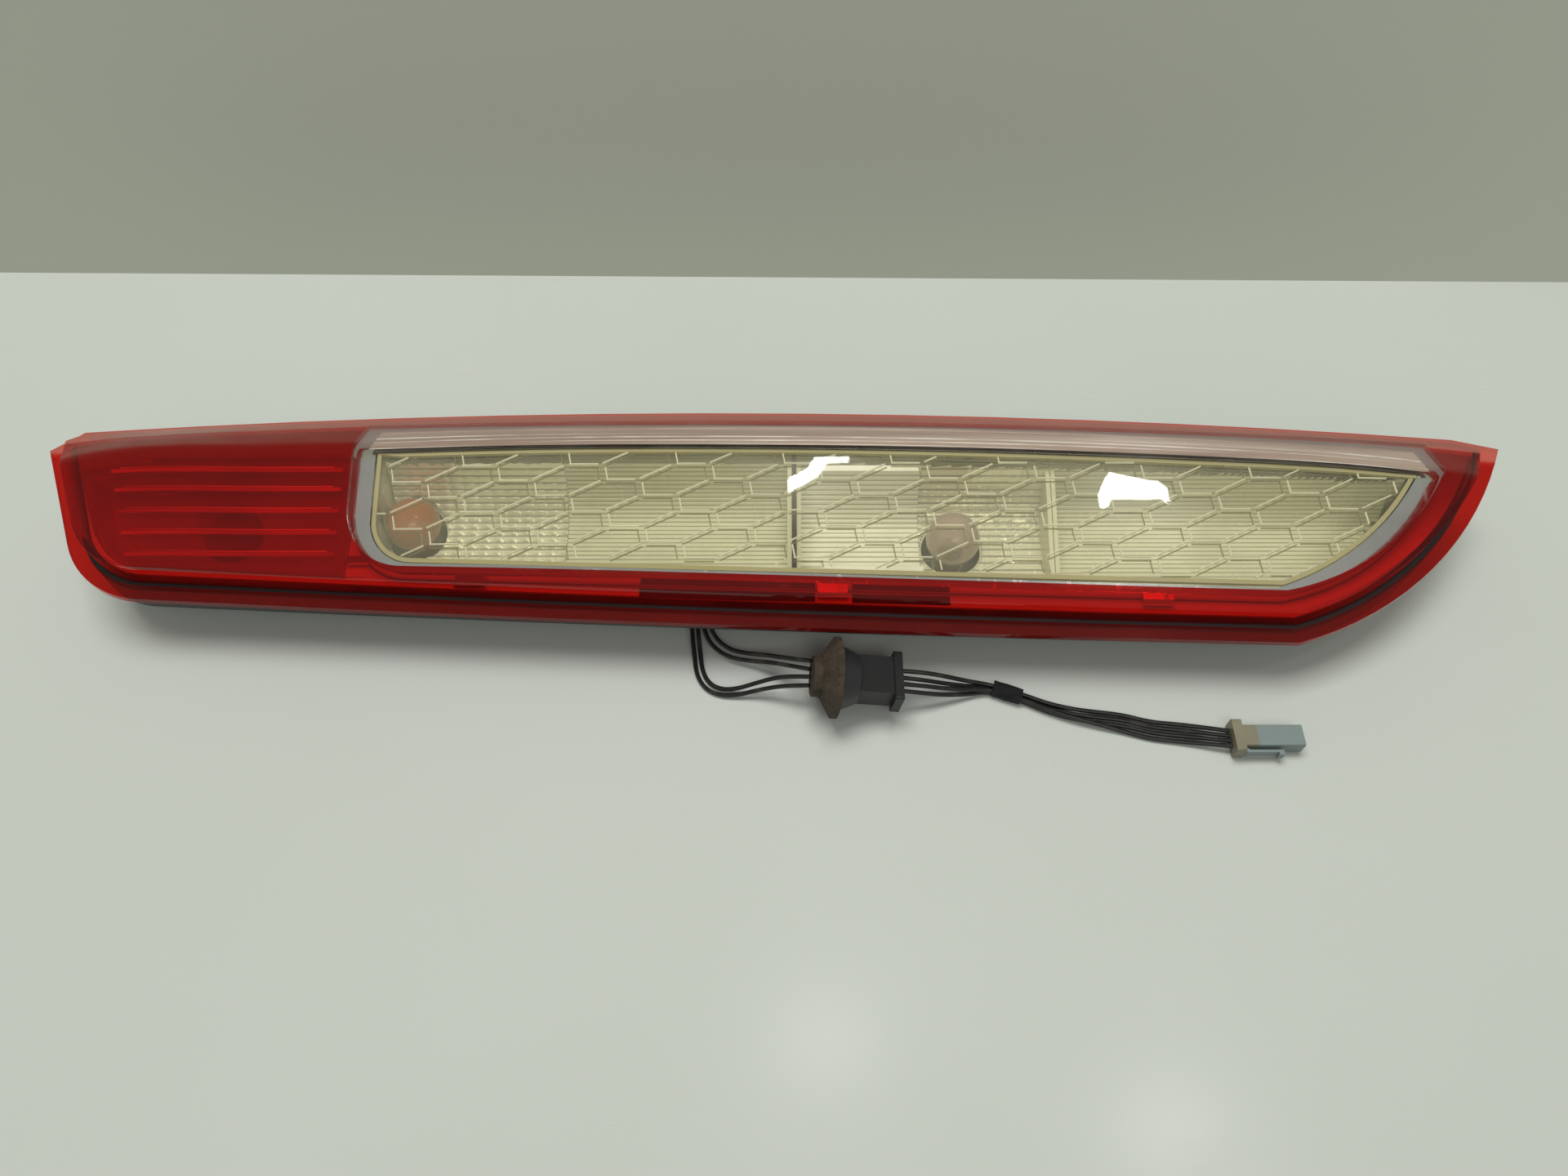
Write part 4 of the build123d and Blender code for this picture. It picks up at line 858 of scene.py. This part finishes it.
def metallised(name, colour, roughness, metal=1.0, groove=0.0):
    """Vacuum-metallised plastic, slightly clouded with age; with a groove pitch, painted with shade in its
    grooves.
    """
    made = Finish(name)
    cloud = made.step(made.noise(30, 3), 0.4, 0.8)
    dull = tuple(channel * 0.8 for channel in colour[:3]) + (1,)
    skin = made.mixed(cloud, colour, dull)
    if groove:
        # Painted shade: the colour darkens in each groove of the given pitch.
        row = made.along(1) * SIGHT[0] + made.along(2) * SIGHT[1]
        wave = made.node("ShaderNodeMath", {0: row * (math.pi / groove / MM)}, operation="SINE")
        crest = made.step(wave * wave, 0.02, 0.35)
        skin = made.mixed(crest, tuple(channel * 0.45 for channel in colour[:3]) + (1,), skin)
    return made.done(made.shell(skin, roughness + cloud * 0.1, Metallic=metal))


for node in ("reflector_turn", "reflector_reversing", "reflector_end", "reflector_stop"):
    dress(node, metallised(node + "_metal", (0.74, 0.72, 0.54, 1), 0.3, 0.3))
LENS_UNDER = surface_of("pattern_lens", False)


def bowl(x, y):
    """Height of the reflector's surface: a trough that curves up to the lens on the far side."""
    axis_y, axis_z, radius = TROUGH
    floor = axis_z - math.sqrt(radius**2 - (min(y, BOWL_Y) - axis_y) ** 2)
    edge = far_edge(WINDOW, max(WINDOW_LEFT + 1, min(WINDOW_RIGHT - 1, x))) - OPTIC_EDGE
    climb = max(0.0, min(1.0, (y - BOWL_Y) / (edge - BOWL_Y)))
    return floor + 0.5 + (1 - math.sqrt(1 - 0.96 * climb**2)) / 0.8 * (BOWL_TOP - floor)


BULB_HOLE = 14.8


def liner(name, left, right, profile, finish, step, holes=()):
    """The optic surface of a reflector: a thin sheet over its trough whose height follows a profile, with
    holes for the bulbs."""
    inner = drawn_in(WINDOW, OPTIC_EDGE)
    columns = max(2, round((right - left) / step[0]))
    rows, y = [], -40.0
    while y < 27:
        rows.append(y)
        y += step[1] * (1.0 if y < BOWL_Y else 0.45)
    verts, index = [], {}
    for i in range(columns + 1):
        x = left + (right - left) * i / columns
        for j, y in enumerate(rows):
            z = bowl(x, y)
            index[i, j] = len(verts)
            verts.append((x * MM, y * MM, (z + profile(x, y * SIGHT[0] + z * SIGHT[1])) * MM))
    faces = []
    for i in range(columns):
        for j in range(len(rows) - 1):
            corners = [(i, j), (i + 1, j), (i + 1, j + 1), (i, j + 1)]
            spots = [(verts[index[c]][0] / MM, verts[index[c]][1] / MM) for c in corners]
            blocked = any(math.dist(spot, hole) < BULB_HOLE for spot in spots for hole in holes)
            if all(inside(inner, *spot) for spot in spots) and not blocked:
                faces.append([index[c] for c in corners])
    used = sorted({v for face in faces for v in face})
    renumber = {old: new for new, old in enumerate(used)}
    piece = solid(
        name,
        [verts[v] for v in used],
        [[renumber[v] for v in face] for face in faces],
        finish,
        crease=50,
    )
    thick = piece.modifiers.new("sheet", "SOLIDIFY")
    thick.thickness = 0.3 * MM
    thick.offset = -1
    return piece


def pillow(pitch_x, pitch_v, rise):
    """Rows of small cushions."""
    return lambda x, v: rise * abs(math.sin(math.pi * x / pitch_x)) * abs(math.sin(math.pi * v / pitch_v))


def flutes(pitch, rise):
    """Half-round ridges along the lamp."""
    return lambda x, v: rise * abs(math.sin(math.pi * v / pitch))


random.seed(7)
HAMMER_PITCH = (3.2, 2.2)
HAMMER_RISE = 1.1
HAMMER = {(i, j): random.uniform(0.2, 1) for i in range(60) for j in range(60)}


def hammered(x, v):
    """Small cushions of random height."""
    column, row = (x + 300) / HAMMER_PITCH[0], (v + 60) / HAMMER_PITCH[1]
    cushion = math.sin(math.pi * (column % 1)) * math.sin(math.pi * (row % 1))
    return HAMMER_RISE * HAMMER[int(column) % 60, int(row) % 60] * cushion


beige = metallised("optic_beige", (0.80, 0.79, 0.61, 1), 0.25, 0.15, 2.0)
bright = metallised("optic_bright", (1.0, 0.98, 0.82, 1), 0.1, 0.4, 3.2)
louvred = metallised("optic_louvred", (1.0, 0.99, 0.85, 1), 0.15, 0.05, 2.3)
COARSE, FINE = (3.5, 0.4), (0.8, 0.5)  # the sheets' steps along x and y
liner("optic_facets", -184, -100, pillow(6.5, 3.2, 1.5), bright, FINE, [(-173, 3)])
liner("optic_flutes", -99.9, 8.2, flutes(2.0, 0.4), beige, COARSE)
liner("optic_louvres", 10.7, 69.6, flutes(2.3, 0.8), louvred, (3.0, 0.4))
liner("optic_hammered", 69.7, 131.5, hammered, bright, FINE, [(85, -5.5)])
liner("optic_end_flutes", 131.6, 300, flutes(2.0, 0.4), beige, COARSE)

# The dark partition between the turn and reversing lamps, with its edge close under the inner lens, and two
# thin near-white strips beside the louvres: painted highlights.
dress("light_partition", moulded("partition_grey", (0.05, 0.05, 0.045, 1), 0.5))
EDGE_LEFT, EDGE_RIGHT, EDGE_DEPTH = 9.1, 9.9, 12
verts, faces = [], []
for i, y in enumerate(range(-30, 24, 2)):
    top = LENS_UNDER((EDGE_LEFT + EDGE_RIGHT) / 2, y)
    for x, drop in ((EDGE_LEFT, 0.4), (EDGE_RIGHT, 0.4), (EDGE_RIGHT, EDGE_DEPTH), (EDGE_LEFT, EDGE_DEPTH)):
        verts.append((x * MM, y * MM, (top - drop) * MM))
    if i:
        base = 4 * (i - 1)
        for a, b in ((0, 1), (1, 2), (2, 3), (3, 0)):
            faces.append((base + a, base + b, base + b + 4, base + a + 4))
faces += [(3, 2, 1, 0), tuple(len(verts) - 4 + k for k in range(4))]
solid("partition_edge", verts, faces, moulded("partition_black", (0.01, 0.01, 0.01, 1), 0.5))
HIGHLIGHT_STRIP_FACES = [(0, 1, 3, 2), (4, 6, 7, 5), (0, 4, 5, 1), (2, 3, 7, 6), (0, 2, 6, 4), (1, 5, 7, 3)]
HIGHLIGHT_STRIP_ENDS = (22, 69)
# Two thin near-white strips under the inner lens at the louvres' near and far sides: painted highlights.
louvre_highlight_paint = metallised("louvre_highlight_paint", (1.0, 0.99, 0.93, 1), 0.15, 0.1)
for name, near, far in (("louvre_shelf_near", -28.5, -25.5), ("louvre_shelf_far", 18.6, 21.2)):
    corners = [(x, y) for y in (near, far) for x in HIGHLIGHT_STRIP_ENDS]
    highlight_strip = [(x * MM, y * MM, (LENS_UNDER(x, y) - drop) * MM) for drop in (1.6, 2.2) for x, y in corners]
    solid(name, highlight_strip, HIGHLIGHT_STRIP_FACES, louvre_highlight_paint)

# ------------------------------------------------------------------------------------------------ bulbs
# Bayonet bulbs with nickel-plated caps, turned into the carrier: clear glass for stop, dusty clear glass for
# reversing, and amber-coated glass for turn.
nickel = metallised("cap_nickel", (0.55, 0.54, 0.5, 1), 0.3)


def bulb_glass(name, tint, coat, coat_share):
    """Thin blown glass, with or without a coloured coat."""
    glass = Finish(name)
    body = glass.node("ShaderNodeBsdfTransparent", {"Color": tint})
    film = glass.shell(coat, 0.3)
    mixed = glass.over(coat_share, body, film)
    gloss = glass.node("ShaderNodeBsdfGlossy", {"Color": WHITE, "Roughness": 0.04})
    return glass.done(glass.over(glass.skin(0.04), mixed, gloss))


for name, glass in (
    ("stop", bulb_glass("clear_glass", (0.95, 0.95, 0.94, 1), (0.7, 0.7, 0.68, 1), 0.04)),
    ("reversing", bulb_glass("dusty_glass", (0.95, 0.9, 0.86, 1), (0.62, 0.52, 0.46, 1), 0.35)),
    ("turn", bulb_glass("amber_glass", (0.8, 0.5, 0.25, 1), (0.40, 0.12, 0.03, 1), 0.6)),
):
    dress(f"bulb_base_{name}", nickel)
    dress(f"bulb_glass_{name}", glass)
    see_through(frame["nodes"][f"bulb_glass_{name}"])
dress("bulb_filaments", metallised("filament_metal", (0.4, 0.38, 0.36, 1), 0.4))

# ------------------------------------------------------------------------------------------------ carrier
# Grey-black glass-filled nylon bulb carrier on a foam gasket, held by four sprung latches, with tinned brass
# rails along its outside.
nylon = moulded("carrier_nylon", (0.035, 0.035, 0.036, 1), 0.5)
dress("bulb_carrier", nylon)
for latch in ("near_left", "near_right", "far_left", "far_right"):
    dress(f"carrier_latch_{latch}", nylon)
dress("carrier_gasket", moulded("gasket_foam", (0.02, 0.02, 0.021, 1), 0.9, 500, 0.0003))
brass = metallised("tinned_brass", (0.72, 0.62, 0.40, 1), 0.3)
for rail in ("ground", "stop", "turn", "reversing"):
    dress(f"contact_rail_{rail}", brass)
dress("contact_springs", brass)

# ------------------------------------------------------------------------------------------------ fixings
# Two M6 studs of zinc-plated steel, pressed into the housing's back. They pass through the body panel and
# take a nut each.
zinc = metallised("zinc_plate", (0.60, 0.61, 0.60, 1), 0.35)
for side in ("left", "right"):
    dress(f"mounting_stud_{side}", zinc)

# ------------------------------------------------------------------------------------------------ grommet
# Rubber grommet that seals the harness where it passes through the body: a disc with a dusty brown foam face
# and a black rubber collar. A black plastic in-line block sits in it.
felt = Finish("foam_face")
clump = felt.noise(170, 5)
pore = felt.noise(900, 3)
felt_colour = felt.mixed(felt.step(clump, 0.3, 0.75), (0.075, 0.055, 0.036, 1), (0.035, 0.027, 0.019, 1))
dress("grommet_disc", felt.done(felt.shell(felt_colour, 0.95, Normal=felt.bump(clump + pore * 0.5, 0.0012))))
dress("grommet_collar", moulded("collar_rubber", (0.022, 0.023, 0.024, 1), 0.38))
dress("harness_block", moulded("block_plastic", (0.014, 0.014, 0.015, 1), 0.45))
soften("harness_block", 0.5)

# ------------------------------------------------------------------------------------------------ tape sleeve
# Black cloth harness tape wound by hand round the four wires, so that it lies in uneven folds.
tape = Finish("cloth_tape")
weave = tape.noise(1800, 2)
dress("tape_sleeve", tape.done(tape.shell((0.010, 0.010, 0.011, 1), 0.75, Normal=tape.bump(weave, 0.0003))))
soften("tape_sleeve", 0.8, 3)
sleeve = frame["nodes"]["tape_sleeve"]
finer = sleeve.modifiers.new("finer", "SUBSURF")
finer.subdivision_type = "SIMPLE"
finer.levels = finer.render_levels = 3
folds = bpy.data.textures.new("tape_folds", "CLOUDS")
folds.noise_scale = 0.0035
wrapped = sleeve.modifiers.new("wrapped", "DISPLACE")
wrapped.texture = folds
wrapped.texture_coords = "LOCAL"
wrapped.strength = 0.001
wrapped.mid_level = 0.5

# ------------------------------------------------------------------------------------------------ plug
# Four-way connector in nylon: a natural beige rear with side arms, clipped on a blue-grey body that has a
# latch lever and tinned brass terminals.
beige_nylon = Finish("beige_nylon")
mottled = beige_nylon.mixed(beige_nylon.noise(60, 3), (0.26, 0.235, 0.16, 1), (0.17, 0.155, 0.11, 1))
dress("plug_rear", beige_nylon.done(beige_nylon.shell(mottled, 0.4)))
grey_nylon = moulded("grey_nylon", (0.20, 0.245, 0.235, 1), 0.45, dusty=0.3)
dress("plug_body", grey_nylon)
dress("plug_lever", grey_nylon)
dress("plug_terminals", brass)
for node in ("plug_rear", "plug_body"):
    soften(node, 0.3)
